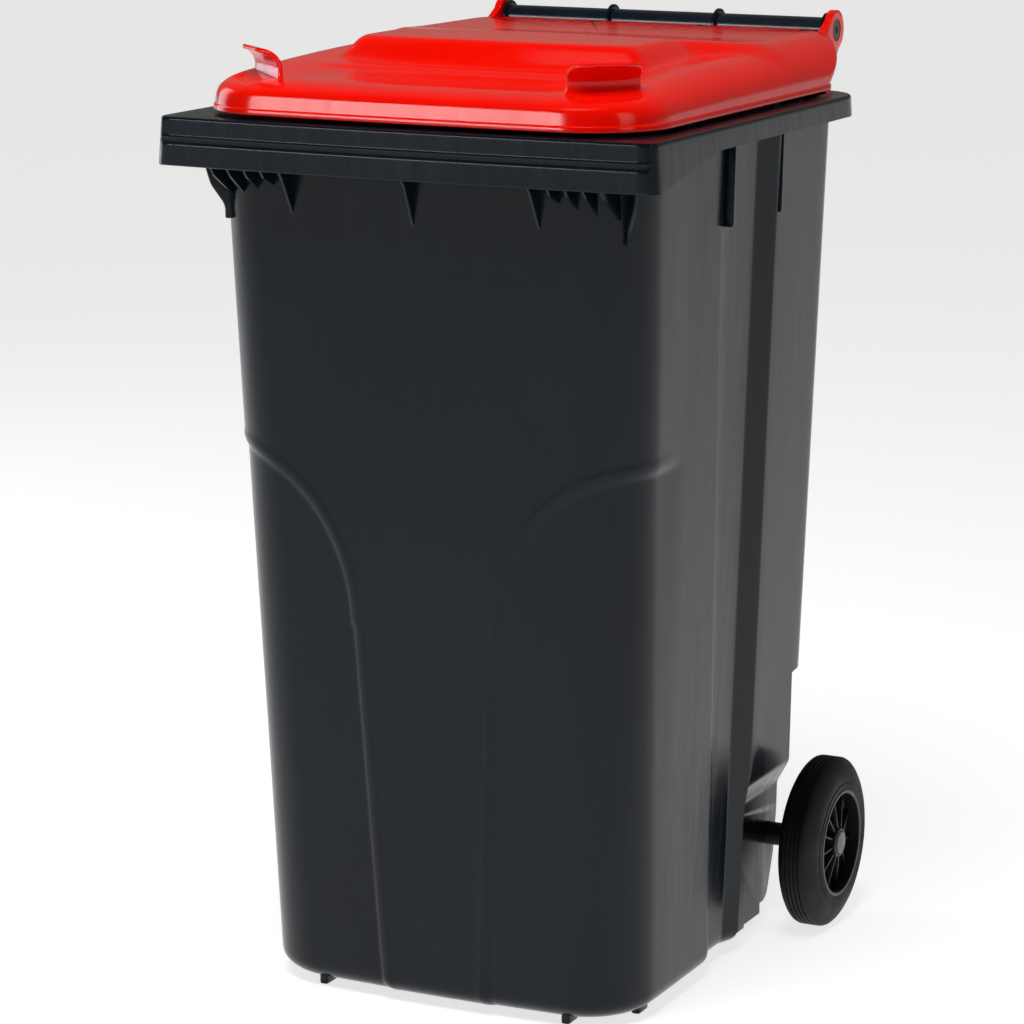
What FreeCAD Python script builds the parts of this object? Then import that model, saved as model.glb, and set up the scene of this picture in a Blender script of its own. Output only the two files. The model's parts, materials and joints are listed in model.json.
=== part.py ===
"""Two-wheeled waste bin of about 240 litres, as separate solids in millimetres.

Frame: +X to the right seen from the front, the front faces -Y, +Z up.
Origin: on the ground, under the middle of the bin's bounding box.
"""
import FreeCAD, Part
import math
import os

V = FreeCAD.Vector
X_AXIS = V(1, 0, 0)
Z_AXIS = V(0, 0, 1)
SIDES = (("left", -1), ("right", 1))

# Driving dimensions
RIM_HALF_WIDTH = 290.0
RIM_FRONT_Y = -353.0
RIM_BOW = 12.0
RIM_REAR_Y = 254.0
RIM_TOP_Z = 975.5
HINGE_Y = 343.0
HINGE_Z = 1036.0
WHEEL_RADIUS = 100.0
AXLE_Y = 212.0

# Tub
WALL = 4.0
TUB_BOTTOM_Z = 8.0
TUB_TOP_Z = 965.0
TUB_FRONT_HALF_WIDTH = (227.0, 252.0)
TUB_REAR_HALF_WIDTH = (229.0, 259.0)
TUB_FRONT_Y = (-255.5, -312.0)
TUB_REAR_Y = (234.0, 246.0)
TUB_BOW = 9.0
TUB_FRONT_RADIUS = (77.0, 65.0)
TUB_REAR_RADIUS = 41.0
BOTTOM_ROUNDING = ((0.0, 18.0), (3.0, 10.5), (10.0, 4.0), (24.0, 0.0))
CHANNEL_FRONT_Y = (-29.0, -78.0)
CHANNEL_REAR_Y = (70.0, 64.0)
CHANNEL_RAMP = 34.0
CHANNEL_DEPTH = 13.0

# Recesses at the rear for the wheels and for the axle
HOUSING_FRONT_Y = 61.0
HOUSING_TOP_Z = 308.0
HOUSING_RADIUS = 150.0
HOUSING_INNER_TOP_X = 221.0
HOUSING_INNER_X = 203.0
HOUSING_STEP_Z = (158.0, 188.0)
AXLE_TUNNEL_FRONT_Y = 186.0
AXLE_TUNNEL_TOP_Z = 126.0
AXLE_RIB_X = (-100.0, 0.0, 100.0)
AXLE_CHEEK_X = 200.0
AXLE_RIB_THICKNESS = 6.0

# Rim
RIM_PLATE = 4.0
RIM_SKIRT_WALL = 3.5
RIM_TAPER = 4.0
FRONT_SKIRT_Z = 924.0
SIDE_SKIRT_Z = 952.0
SKIRT_RAMP_Y = (-340.0, -182.0)
RIM_FRONT_RADIUS = 18.0
RIM_REAR_RADIUS = 57.0
GROOVE_Z = 949.0
GROOVE_HEIGHT = 3.0
GROOVE_DEPTH = 2.0
COMB_PITCH = 22.0
COMB_RIB = 2.5
COMB_HALF_SPAN = 242.0
GUSSETS = ((0.0, 871.0), (144.0, 876.0), (166.0, 905.0), (186.0, 900.0), (206.0, 894.0), (226.0, 889.0))
GUSSET_THICKNESS = 3.0
SIDE_RIB_Y = (-66.0, 73.0)
SIDE_RIB_BOTTOM_Z = 857.0
SIDE_RIB_OUTER_X = 260.0
CORNER_WEB_THICKNESS = 4.0
CORNER_WEB_BOTTOM_Z = 863.0
CORNER_WEB_REACH = (9.0, 34.0)
NEST_X = 70.0
NEST_Y = -338.0
NEST_RADIUS = 11.0
NEST_DEPTH = 16.0
PLUG_HEIGHT = 6.0

# Handle bar and its brackets
BAR_RADIUS = 14.0
BAR_BORE = 8.0
BAR_HALF_LENGTH = 206.0
RING_RADIUS = 19.5
RING_X = (-204.0, -68.0, 68.0, 204.0)
RING_THICKNESS = 4.0

# Feet
FOOT_PLACES = ((149.0, -232.0), (204.0, -168.0), (194.0, 137.0))
FOOT_HALF_WIDTH = 5.0
FOOT_HALF_LENGTH = 13.0
FOOT_TOP_Z = 16.0

# Lid
LID_WALL = 3.0
LID_BOTTOM_Z = 980.0
LID_CAP_Z = 1046.0
LID_HALF_WIDTH = (262.0, 240.0)
LID_FRONT_Y = (-335.0, -306.0)
LID_REAR_Y = (236.0, 312.0)
LID_FRONT_RADIUS = (88.0, 62.0)
LID_REAR_RADIUS = (34.0, 70.0)
LID_BOW = 9.0
LID_DECK = ((-315.0, 1011.0), (-165.0, 1024.0), (10.0, 1030.5), (330.0, 1038.5))
DOME_HALF_WIDTH = (158.0, 138.0)
DOME_FRONT_Y = (-160.0, -128.0)
DOME_REAR_Y = (255.0, 235.0)
DOME_RADIUS = (60.0, 46.0)
DOME_FOOT_Z = 1012.0
DOME_TOP_Z = 1052.0
DOME_REAR_DROP = 15.0
NOTCH_HALF_WIDTH = 8.0
NOTCH_DEPTH = 26.0
LID_REAR_EDGE_Y = 300.0
EAR_INNER_X = 208.0
EAR_OUTER_X = 216.0
EAR_RADIUS = 23.0
HOOK_TURN = 42.0
HOOK_CENTRE = (202.0, -277.0)
HOOK_WIDTH = 80.0
HOOK_BAND = 5.0
HOOK_RADIUS = 22.0
HOOK_CREST_Z = 1047.0
HOOK_FOOT_Z = 1002.0
HOOK_END_ANGLE = 84.0
BUFFER_Y = (-180.0, 60.0)
BUFFER_SIZE = (10.0, 24.0, 12.0)
BUFFER_GAP = 0.3
BUFFER_CLEARANCE = 4.0

# Hinge pins
PIN_HEAD_RADIUS = 13.0
PIN_HEAD_THICKNESS = 3.0
PIN_LENGTH = 36.0
RUNNING_CLEARANCE = 0.05

# Wheels and axle
AXLE_RADIUS = 10.0
AXLE_HALF_LENGTH = 286.0
AXLE_CHAMFER = 1.5
WHEEL_CENTRE_X = 270.0
WHEEL_HALF_WIDTH = 25.0
TREAD_HALF_WIDTH = 14.0
RIM_RING_RADIUS = 63.0
RIM_RING_INNER = 58.5
WEB_HALF = 3.0
HUB_RADIUS = 17.0
SPOKE_COUNT = 11
SPOKE_HALF_THICKNESS = 1.3
CAP_RADIUS = 13.5
CAP_THICKNESS = 4.0
HUB_MOUTH = 7.0
TREAD_GROOVES = (-7.5, -2.5, 2.5, 7.5)
TREAD_GROOVE_DEPTH = 2.0
TREAD_GROOVE_WIDTH = 1.4
SPACER_RADIUS = 13.5
SPACER_OUTER_X = 244.5
LOCK_X = 272.0
LOCK_PIN_RADIUS = 2.95
LOCK_POCKET_RADIUS = 3.0
LOCK_TIP = 8.4
LOCK_SHOULDER = 17.5
LOCK_POCKET_END = 26.0
LOCK_TOWER_RADIUS = 6.0
LOCK_TOWER_END = 30.0
LOCK_GROOVE_RADIUS = 8.0
LOCK_GROOVE_WIDTH = 6.8
SPRING_WIRE = 0.35
SPRING_RADIUS = 2.3
SPRING_TURNS = 6


# Helpers

def flat(z):
    """A map from plan coordinates (x, y) to space at height z."""
    return lambda a, b: V(a, b, z)


def upright(x):
    """A map from side-view coordinates (y, z) to space at the given x."""
    return lambda a, b: V(x, a, b)


def across(y):
    """A map from front-view coordinates (x, z) to space at the given y."""
    return lambda a, b: V(a, y, b)


def rounded_wire(corners, place):
    """Closed wire through corners (a, b, radius), each turned by an arc where it has a radius."""
    edges = []
    spans = []
    count = len(corners)
    for index, (a, b, radius) in enumerate(corners):
        here = V(a, b, 0)
        before = V(*corners[index - 1][:2], 0)
        after = V(*corners[(index + 1) % count][:2], 0)
        back = (before - here).normalize()
        ahead = (after - here).normalize()
        half_angle = back.getAngle(ahead) / 2.0
        if radius <= 0 or abs(math.sin(2 * half_angle)) < 1e-6:
            spans.append((here, here, here))
            continue
        reach = radius / math.tan(half_angle)
        bisector = (back + ahead).normalize()
        middle = here + bisector * (radius / math.sin(half_angle) - radius)
        spans.append((here + back * reach, middle, here + ahead * reach))
    for index, (start, middle, end) in enumerate(spans):
        points = [place(p.x, p.y) for p in (start, middle, end)]
        if (points[2] - points[0]).Length > 1e-6:
            edges.append(Part.Arc(*points).toShape())
        following = spans[(index + 1) % count][0]
        target = place(following.x, following.y)
        if (target - points[2]).Length > 1e-6:
            edges.append(Part.LineSegment(points[2], target).toShape())
    return Part.Wire(edges)


def prism(corners, place, direction):
    """Solid swept along a straight direction from a rounded outline."""
    return Part.Face(rounded_wire(corners, place)).extrude(direction)


def block(low, high):
    size = V(*high) - V(*low)
    return Part.makeBox(size.x, size.y, size.z, V(*low))


def cylinder(radius, length, start, direction):
    return Part.makeCylinder(radius, length, V(*start), direction)


def mirrored(shape):
    return shape.mirror(V(0, 0, 0), X_AXIS)


def on_side(shape, sign):
    """The shape as made for the right side, or its mirror image for the left."""
    return shape if sign > 0 else mirrored(shape)


def fused(shapes):
    return shapes[0].multiFuse(shapes[1:]).removeSplitter()


def blend(pair, share):
    return pair[0] + (pair[1] - pair[0]) * share


def symmetric(right_corners, front_centre=None):
    """Full outline from its right half, given front to rear."""
    left = [(-x, y, r) for x, y, r in reversed(right_corners)]
    middle = [front_centre] if front_centre else []
    return middle + right_corners + left


# Tub

def tub_outline(z, inset):
    share = (z - TUB_BOTTOM_Z) / (TUB_TOP_Z - TUB_BOTTOM_Z)
    front_x = blend(TUB_FRONT_HALF_WIDTH, share) - inset
    rear_x = blend(TUB_REAR_HALF_WIDTH, share) - inset
    front_y = blend(TUB_FRONT_Y, share) + inset
    rear_y = blend(TUB_REAR_Y, share) - inset
    channel_x = rear_x - CHANNEL_DEPTH
    channel_front = blend(CHANNEL_FRONT_Y, share) - inset
    channel_rear = blend(CHANNEL_REAR_Y, share) + inset
    right = [
        (front_x, front_y, blend(TUB_FRONT_RADIUS, share) - inset),
        (front_x, channel_front, 4.0),
        (channel_x, channel_front + 5.0, 4.0),
        (channel_x, channel_rear - CHANNEL_RAMP, 14.0),
        (rear_x, channel_rear, 14.0),
        (rear_x, rear_y, TUB_REAR_RADIUS - inset),
    ]
    centre = (0.0, front_y - TUB_BOW, 2200.0)
    return rounded_wire(symmetric(right, centre), flat(z))


def tapered_solid(inset, bottom_z, top_z):
    sections = [tub_outline(bottom_z + rise, inset + pull) for rise, pull in BOTTOM_ROUNDING]
    sections.append(tub_outline(top_z, inset))
    return Part.makeLoft(sections, True, True)


def wheel_housing(growth):
    """Space cut from the right rear lower corner for the wheel, grown for the inner wall."""
    reach_y = RIM_REAR_Y + 60.0
    front_y = HOUSING_FRONT_Y - growth
    top_z = HOUSING_TOP_Z + growth
    side_corners = [(front_y, -20.0, 0), (front_y, top_z, HOUSING_RADIUS), (reach_y, top_z, 0),
                    (reach_y, -20.0, 0)]
    side_view = prism(side_corners, upright(0.0), V(RIM_HALF_WIDTH, 0, 0))
    inner_x = HOUSING_INNER_X - growth
    inner_top_x = HOUSING_INNER_TOP_X - growth
    front_view = [
        (inner_x, -20.0, 0), (RIM_HALF_WIDTH, -20.0, 0), (RIM_HALF_WIDTH, 330.0, 0),
        (inner_top_x, 330.0, 0), (inner_top_x, HOUSING_STEP_Z[1], 15.0),
        (inner_x, HOUSING_STEP_Z[0], 15.0),
    ]
    depth = V(0, 2 * reach_y, 0)
    return side_view.common(prism(front_view, across(front_y - 10.0), depth))


def axle_tunnel(growth):
    corners = [
        (AXLE_TUNNEL_FRONT_Y - growth, -20.0, 0),
        (RIM_REAR_Y + 20.0, -20.0, 0),
        (RIM_REAR_Y + 20.0, AXLE_TUNNEL_TOP_Z + growth, 0),
        (AXLE_TUNNEL_FRONT_Y - growth, AXLE_TUNNEL_TOP_Z + growth, 22.0),
    ]
    width = 2 * RIM_HALF_WIDTH
    return prism(corners, upright(-RIM_HALF_WIDTH), V(width, 0, 0))


def recesses(growth):
    housing = wheel_housing(growth)
    return [housing, mirrored(housing), axle_tunnel(growth)]


def axle_ribs():
    """Deep cheeks at the ends and lighter ribs between, which carry the axle under the tub."""
    rear_y = TUB_REAR_Y[0] + 1.0
    front_y = AXLE_TUNNEL_FRONT_Y - 6.0
    top_z = AXLE_TUNNEL_TOP_Z + 3.0
    rib = [(front_y, 30.0, 8.0), (AXLE_Y - 4.0, 72.0, 24.0), (rear_y, 84.0, 18.0),
           (rear_y, top_z, 0), (front_y, top_z, 0)]
    cheek = [(front_y, 20.0, 0), (AXLE_Y - 6.0, 20.0, 18.0), (rear_y - 8.0, 75.0, 60.0),
             (rear_y, top_z, 0), (front_y, top_z, 0)]
    plates = [(x, rib) for x in AXLE_RIB_X] + [(-AXLE_CHEEK_X, cheek), (AXLE_CHEEK_X, cheek)]
    thickness = V(AXLE_RIB_THICKNESS, 0, 0)
    return [prism(outline, upright(x - AXLE_RIB_THICKNESS / 2.0), thickness) for x, outline in plates]


def feet():
    nubs = []
    for x, y in FOOT_PLACES:
        for sign in (-1, 1):
            low = (sign * x - FOOT_HALF_WIDTH, y - FOOT_HALF_LENGTH, 0.0)
            high = (sign * x + FOOT_HALF_WIDTH, y + FOOT_HALF_LENGTH, FOOT_TOP_Z)
            nub = block(low, high)
            nubs.append(nub.makeChamfer(2.0, [e for e in nub.Edges if e.CenterOfMass.z < 1.0]))
    return nubs


# Rim

def rim_outline(z, inset, half_width):
    right = [
        (half_width - inset, RIM_FRONT_Y + inset, RIM_FRONT_RADIUS - inset),
        (half_width - inset, RIM_REAR_Y - inset, RIM_REAR_RADIUS - inset),
    ]
    centre = (0.0, RIM_FRONT_Y - RIM_BOW + inset, 2600.0)
    return rounded_wire(symmetric(right, centre), flat(z))


def rim_solid(inset, top_z):
    top_width = RIM_HALF_WIDTH - RIM_TAPER
    sections = [rim_outline(FRONT_SKIRT_Z - 1.0, inset, RIM_HALF_WIDTH),
                rim_outline(top_z, inset, top_width)]
    return Part.makeLoft(sections, True, True)


def below_skirt():
    """Everything under the lower edge of the rim's skirt, which is deeper at the front."""
    corners = [
        (RIM_FRONT_Y - 60.0, 800.0, 0), (RIM_REAR_Y + 60.0, 800.0, 0),
        (RIM_REAR_Y + 60.0, SIDE_SKIRT_Z, 0), (SKIRT_RAMP_Y[1], SIDE_SKIRT_Z, 30.0),
        (SKIRT_RAMP_Y[0], FRONT_SKIRT_Z, 12.0), (RIM_FRONT_Y - 60.0, FRONT_SKIRT_Z, 0),
    ]
    return prism(corners, upright(-320.0), V(640.0, 0, 0))


def rim_groove():
    """The line that divides the front of the skirt into two tiers."""
    outer = Part.Face(rim_outline(GROOVE_Z, -10.0, RIM_HALF_WIDTH)).extrude(V(0, 0, GROOVE_HEIGHT))
    inner = Part.Face(rim_outline(GROOVE_Z, GROOVE_DEPTH, RIM_HALF_WIDTH - 1.7))
    ring = outer.cut(inner.extrude(V(0, 0, GROOVE_HEIGHT)))
    front_only = block((-RIM_HALF_WIDTH + 8.0, RIM_FRONT_Y - 30.0, GROOVE_Z - 1.0),
                       (RIM_HALF_WIDTH - 8.0, RIM_FRONT_Y + 9.0, GROOVE_Z + 10.0))
    return ring.common(front_only)


def comb_ribs(skirt_space):
    """Ribs across the hollow of the front rim, where a lifting comb takes hold."""
    ribs = []
    steps = int(COMB_HALF_SPAN // COMB_PITCH)
    for step in range(-steps, steps + 1):
        x = step * COMB_PITCH
        low = (x - COMB_RIB / 2.0, RIM_FRONT_Y - RIM_BOW, FRONT_SKIRT_Z + 3.0)
        high = (x + COMB_RIB / 2.0, TUB_FRONT_Y[1] + 2.0, RIM_TOP_Z - 1.0)
        ribs.append(block(low, high).common(skirt_space))
    return ribs


def front_wall_y(x, z):
    """Where the outside of the front wall lies, including its rounded corners."""
    share = (z - TUB_BOTTOM_Z) / (TUB_TOP_Z - TUB_BOTTOM_Z)
    half = blend(TUB_FRONT_HALF_WIDTH, share)
    front_y = blend(TUB_FRONT_Y, share)
    radius = blend(TUB_FRONT_RADIUS, share)
    past_corner = abs(x) - (half - radius)
    if past_corner <= 0:
        return front_y - TUB_BOW * (1.0 - abs(x) / half)
    return front_y + radius - math.sqrt(radius ** 2 - past_corner ** 2)


def gusset(x, tip_z):
    """Thin web from the rim's underside down to a tip on the front wall."""
    tip_y = front_wall_y(x, tip_z)
    top_z = FRONT_SKIRT_Z + 4.0
    reach = RIM_FRONT_Y + 6.0
    corners = [
        (reach, top_z, 0), (reach + 12.0, FRONT_SKIRT_Z - 10.0, 14.0),
        (tip_y - 1.0, tip_z, 0), (tip_y + 3.0, tip_z, 0),
        (front_wall_y(x, top_z) + 3.0, top_z, 0),
    ]
    return prism(corners, upright(x - GUSSET_THICKNESS / 2.0), V(GUSSET_THICKNESS, 0, 0))


def corner_web():
    """Diagonal web under the rim at the right front corner, ending in a short tab."""
    foot, reach = CORNER_WEB_REACH
    bottom = CORNER_WEB_BOTTOM_Z
    corners = [
        (-4.0, bottom, 0), (foot, bottom, 2.0), (foot, bottom + 14.0, 20.0),
        (reach - 9.0, FRONT_SKIRT_Z - 24.0, 30.0), (reach, FRONT_SKIRT_Z + 6.0, 0),
        (-2.0, FRONT_SKIRT_Z + 6.0, 0),
    ]
    web = prism(corners, across(-CORNER_WEB_THICKNESS / 2.0), V(0, CORNER_WEB_THICKNESS, 0))
    web.rotate(V(0, 0, 0), Z_AXIS, -45.0)
    share = (bottom - TUB_BOTTOM_Z) / (TUB_TOP_Z - TUB_BOTTOM_Z)
    diagonal = blend(TUB_FRONT_RADIUS, share) * (1.0 - math.sqrt(0.5))
    corner_x = blend(TUB_FRONT_HALF_WIDTH, share) - diagonal
    corner_y = blend(TUB_FRONT_Y, share) + diagonal
    web.translate(V(corner_x, corner_y, 0))
    return web


def side_ribs():
    ribs = []
    for y in SIDE_RIB_Y:
        for sign in (-1, 1):
            low_x, high_x = sorted((sign * 242.0, sign * SIDE_RIB_OUTER_X))
            low = (low_x, y - 2.0, SIDE_RIB_BOTTOM_Z)
            high = (high_x, y + 2.0, RIM_TOP_Z - 1.0)
            ribs.append(block(low, high))
    return ribs


def handle_brackets():
    """Four webs behind the rim, each with a ring around the handle bar."""
    corners = [
        (TUB_REAR_Y[1] - 6.0, 898.0, 0), (TUB_REAR_Y[1] + 20.0, 908.0, 20.0),
        (HINGE_Y + 2.0, HINGE_Z - RING_RADIUS + 3.0, 6.0), (HINGE_Y - 6.0, HINGE_Z + 6.0, 3.0),
        (HINGE_Y - 16.0, HINGE_Z - 4.0, 10.0), (RIM_REAR_Y + 14.0, RIM_TOP_Z - 8.0, 12.0),
        (TUB_REAR_Y[1] - 6.0, RIM_TOP_Z - 8.0, 0),
    ]
    parts = []
    for x in RING_X:
        start = x - RING_THICKNESS / 2.0
        parts.append(prism(corners, upright(start), V(RING_THICKNESS, 0, 0)))
        parts.append(cylinder(RING_RADIUS, RING_THICKNESS, (start, HINGE_Y, HINGE_Z), X_AXIS))
    return parts


def chip_nest():
    """Round socket moulded under the front rim."""
    return cylinder(NEST_RADIUS + 2.0, NEST_DEPTH, (NEST_X, NEST_Y, RIM_TOP_Z - NEST_DEPTH), Z_AXIS)


def make_bin_body():
    outer = tapered_solid(0.0, TUB_BOTTOM_Z, TUB_TOP_Z)
    cavity = tapered_solid(WALL, TUB_BOTTOM_Z + WALL, RIM_TOP_Z + 5.0)
    shell_of_rim = rim_solid(0.0, RIM_TOP_Z)
    skirt_space = rim_solid(RIM_SKIRT_WALL, RIM_TOP_Z - RIM_PLATE)
    skirt = shell_of_rim.cut(skirt_space).cut(below_skirt()).cut(rim_groove())
    comb = comb_ribs(skirt_space)
    outer = outer.cut(Part.makeCompound(recesses(0.0)))
    cavity = cavity.cut(Part.makeCompound(recesses(WALL)))
    webs = [corner_web()] + [gusset(x, tip_z) for x, tip_z in GUSSETS]
    webs += [mirrored(web) for web in webs if web.BoundBox.XMin > 0]
    outside = fused([outer, skirt] + comb + webs + side_ribs()
                    + handle_brackets() + axle_ribs() + feet() + [chip_nest()])
    nest_start = (NEST_X, NEST_Y, RIM_TOP_Z - NEST_DEPTH - RIM_PLATE)
    bar_start = (-1.5 * BAR_HALF_LENGTH, HINGE_Y, HINGE_Z)
    axle_start = (-AXLE_HALF_LENGTH, AXLE_Y, WHEEL_RADIUS)
    nest_hole = cylinder(NEST_RADIUS, NEST_DEPTH, nest_start, Z_AXIS)
    bar_hole = cylinder(BAR_RADIUS, 3 * BAR_HALF_LENGTH, bar_start, X_AXIS)
    axle_hole = cylinder(AXLE_RADIUS, 2 * AXLE_HALF_LENGTH, axle_start, X_AXIS)
    return outside.cut(Part.makeCompound([cavity, nest_hole, bar_hole, axle_hole]))


def make_chip_nest_plug():
    bottom = RIM_TOP_Z - NEST_DEPTH
    plug = cylinder(NEST_RADIUS, PLUG_HEIGHT, (NEST_X, NEST_Y, bottom), Z_AXIS)
    slot = block((NEST_X - 8.0, NEST_Y - 1.0, bottom - 1.0), (NEST_X + 8.0, NEST_Y + 1.0, bottom + 1.5))
    return plug.cut(slot)


def make_handle_bar():
    start = (-BAR_HALF_LENGTH, HINGE_Y, HINGE_Z)
    outside = cylinder(BAR_RADIUS, 2 * BAR_HALF_LENGTH, start, X_AXIS)
    bore = cylinder(BAR_BORE, 2 * BAR_HALF_LENGTH, start, X_AXIS)
    return outside.cut(bore)


# Lid

def lid_outline(z, share, inset):
    half = blend(LID_HALF_WIDTH, share) - inset
    front_y = blend(LID_FRONT_Y, share) + inset
    rear_y = blend(LID_REAR_Y, share) - inset
    right = [
        (half, front_y, blend(LID_FRONT_RADIUS, share) - inset),
        (half, rear_y, blend(LID_REAR_RADIUS, share) - inset),
    ]
    return rounded_wire(symmetric(right, (0.0, front_y - LID_BOW, 2600.0)), flat(z))


def lid_deck(drop):
    """Everything under the lid's top surface, seen from the side."""
    corners = [(y, z - drop, 60.0) for y, z in LID_DECK]
    corners[0] = (LID_DECK[0][0], LID_DECK[0][1] - drop, 12.0)
    corners[-1] = (LID_DECK[-1][0], LID_DECK[-1][1] - drop, 0)
    corners += [(LID_DECK[-1][0], 940.0, 0), (-380.0, 940.0, 0), (-380.0, LID_DECK[0][1] - drop - 6.0, 0)]
    return prism(corners, upright(-300.0), V(600.0, 0, 0))


def lid_tray(inset, bottom_z):
    sections = [lid_outline(bottom_z, 0.0, inset), lid_outline(LID_CAP_Z, 1.0, inset)]
    return Part.makeLoft(sections, True, True).common(lid_deck(inset))


def dome_outline(z, share, inset):
    half = blend(DOME_HALF_WIDTH, share) - inset
    radius = blend(DOME_RADIUS, share) - inset
    right = [(half, blend(DOME_FRONT_Y, share) + inset, radius),
             (half, blend(DOME_REAR_Y, share) - inset, radius)]
    return rounded_wire(symmetric(right), flat(z))


def dome(inset):
    sections = [dome_outline(DOME_FOOT_Z - inset, 0.0, inset),
                dome_outline(DOME_TOP_Z - inset, 1.0, inset)]
    front = DOME_FRONT_Y[0] - 20.0
    top = [
        (front, 990.0, 0), (DOME_REAR_Y[0] + 20.0, 990.0, 0),
        (DOME_REAR_Y[0] + 20.0, DOME_TOP_Z - DOME_REAR_DROP - inset, 0),
        (20.0, DOME_TOP_Z - inset, 600.0), (front, DOME_TOP_Z - inset, 0),
    ]
    return Part.makeLoft(sections, True, True).common(prism(top, upright(-300.0), V(600.0, 0, 0)))


def lid_rear_cuts():
    """Straight rear edge in front of the bar, with a notch at each bracket."""
    cuts = [block((-320.0, LID_REAR_EDGE_Y, 960.0), (320.0, LID_REAR_EDGE_Y + 60.0, 1080.0))]
    for x in RING_X:
        corners = [(x - NOTCH_HALF_WIDTH, LID_REAR_EDGE_Y + 10.0, 0),
                   (x + NOTCH_HALF_WIDTH, LID_REAR_EDGE_Y + 10.0, 0),
                   (x + NOTCH_HALF_WIDTH, LID_REAR_EDGE_Y - NOTCH_DEPTH, 7.0),
                   (x - NOTCH_HALF_WIDTH, LID_REAR_EDGE_Y - NOTCH_DEPTH, 7.0)]
        cuts.append(prism(corners, flat(LID_BOTTOM_Z - 10.0), V(0, 0, 80.0)))
    return Part.makeCompound(cuts)


def lid_ear(sign):
    """Plate from the lid's rear corner to the hinge."""
    corners = [
        (HINGE_Y - 100.0, 986.0, 10.0), (HINGE_Y - 16.0, 982.0, 8.0),
        (HINGE_Y + 1.0, 1006.0, 20.0), (HINGE_Y + EAR_RADIUS + 1.0, HINGE_Z, 16.0),
        (HINGE_Y + 2.0, HINGE_Z + EAR_RADIUS, 16.0), (HINGE_Y - 60.0, 1036.0, 40.0),
        (HINGE_Y - 100.0, 1030.0, 10.0),
    ]
    start = min(sign * EAR_INNER_X, sign * EAR_OUTER_X)
    thickness = EAR_OUTER_X - EAR_INNER_X
    web = prism(corners, upright(start), V(thickness, 0, 0))
    eye = cylinder(EAR_RADIUS, thickness, (start, HINGE_Y, HINGE_Z), X_AXIS)
    return web.fuse(eye)


def hook():
    """Curled grip on the right front corner, opening outwards."""
    inner = HOOK_RADIUS - HOOK_BAND
    crest = HOOK_CREST_Z - HOOK_RADIUS

    def on_bend(radius, angle):
        turn = math.radians(angle)
        return V(HOOK_RADIUS - radius * math.cos(turn), 0.0, crest + radius * math.sin(turn))

    place = across(0.0)
    outer_end = on_bend(HOOK_RADIUS, HOOK_END_ANGLE)
    inner_end = on_bend(inner, HOOK_END_ANGLE)
    edges = [
        Part.LineSegment(place(0.0, HOOK_FOOT_Z), place(0.0, crest)).toShape(),
        Part.Arc(place(0.0, crest), on_bend(HOOK_RADIUS, HOOK_END_ANGLE / 2.0), outer_end).toShape(),
        Part.LineSegment(outer_end, inner_end).toShape(),
        Part.Arc(inner_end, on_bend(inner, HOOK_END_ANGLE / 2.0), place(HOOK_BAND, crest)).toShape(),
        Part.LineSegment(place(HOOK_BAND, crest), place(HOOK_BAND, HOOK_FOOT_Z)).toShape(),
        Part.LineSegment(place(HOOK_BAND, HOOK_FOOT_Z), place(0.0, HOOK_FOOT_Z)).toShape(),
    ]
    band = Part.Face(Part.Wire(edges)).extrude(V(0, HOOK_WIDTH, 0))
    band.translate(V(-HOOK_RADIUS / 2.0, -HOOK_WIDTH / 2.0, 0))
    band.rotate(V(0, 0, 0), Z_AXIS, HOOK_TURN - 90.0)
    band.translate(V(*HOOK_CENTRE, 0))
    return band


def make_lid():
    tray = lid_tray(0.0, LID_BOTTOM_Z)
    outside = fused([tray, dome(0.0), hook(), mirrored(hook())])
    hollow = lid_tray(LID_WALL, LID_BOTTOM_Z - 2.0).fuse(dome(LID_WALL))
    shell = outside.cut(hollow).cut(lid_rear_cuts())
    lid = fused([shell, lid_ear(-1), lid_ear(1)])
    holes = []
    for _, sign in SIDES:
        holes.append(cylinder(BAR_BORE, 30.0, (sign * (EAR_INNER_X - 4.0), HINGE_Y, HINGE_Z), X_AXIS * sign))
        outer_face = (sign * (EAR_OUTER_X - PIN_HEAD_THICKNESS), HINGE_Y, HINGE_Z)
        holes.append(cylinder(PIN_HEAD_RADIUS, 20.0, outer_face, X_AXIS * sign))
    return lid.cut(Part.makeCompound(holes))


def make_lid_buffers():
    """Rubber pads inside the lid's edge that stand on the rim."""
    pads = []
    outer_x = LID_HALF_WIDTH[0] - LID_WALL - BUFFER_CLEARANCE
    for y in BUFFER_Y:
        for sign in (-1, 1):
            low_x, high_x = sorted((sign * outer_x, sign * (outer_x - BUFFER_SIZE[0])))
            bottom = RIM_TOP_Z + BUFFER_GAP
            low = (low_x, y - BUFFER_SIZE[1] / 2.0, bottom)
            high = (high_x, y + BUFFER_SIZE[1] / 2.0, bottom + BUFFER_SIZE[2])
            pads.append(block(low, high))
    return Part.makeCompound(pads)


def make_hinge_pin(sign):
    start_x = sign * (EAR_OUTER_X - PIN_HEAD_THICKNESS)
    head = cylinder(PIN_HEAD_RADIUS, PIN_HEAD_THICKNESS - 0.5, (start_x, HINGE_Y, HINGE_Z), X_AXIS * sign)
    shank = cylinder(BAR_BORE - RUNNING_CLEARANCE, PIN_LENGTH, (start_x, HINGE_Y, HINGE_Z), X_AXIS * -sign)
    dimple = cylinder(4.0, 1.0, (start_x + sign * 1.6, HINGE_Y, HINGE_Z), X_AXIS * sign)
    return head.fuse(shank).removeSplitter().cut(dimple)


# Axle and wheels

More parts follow.
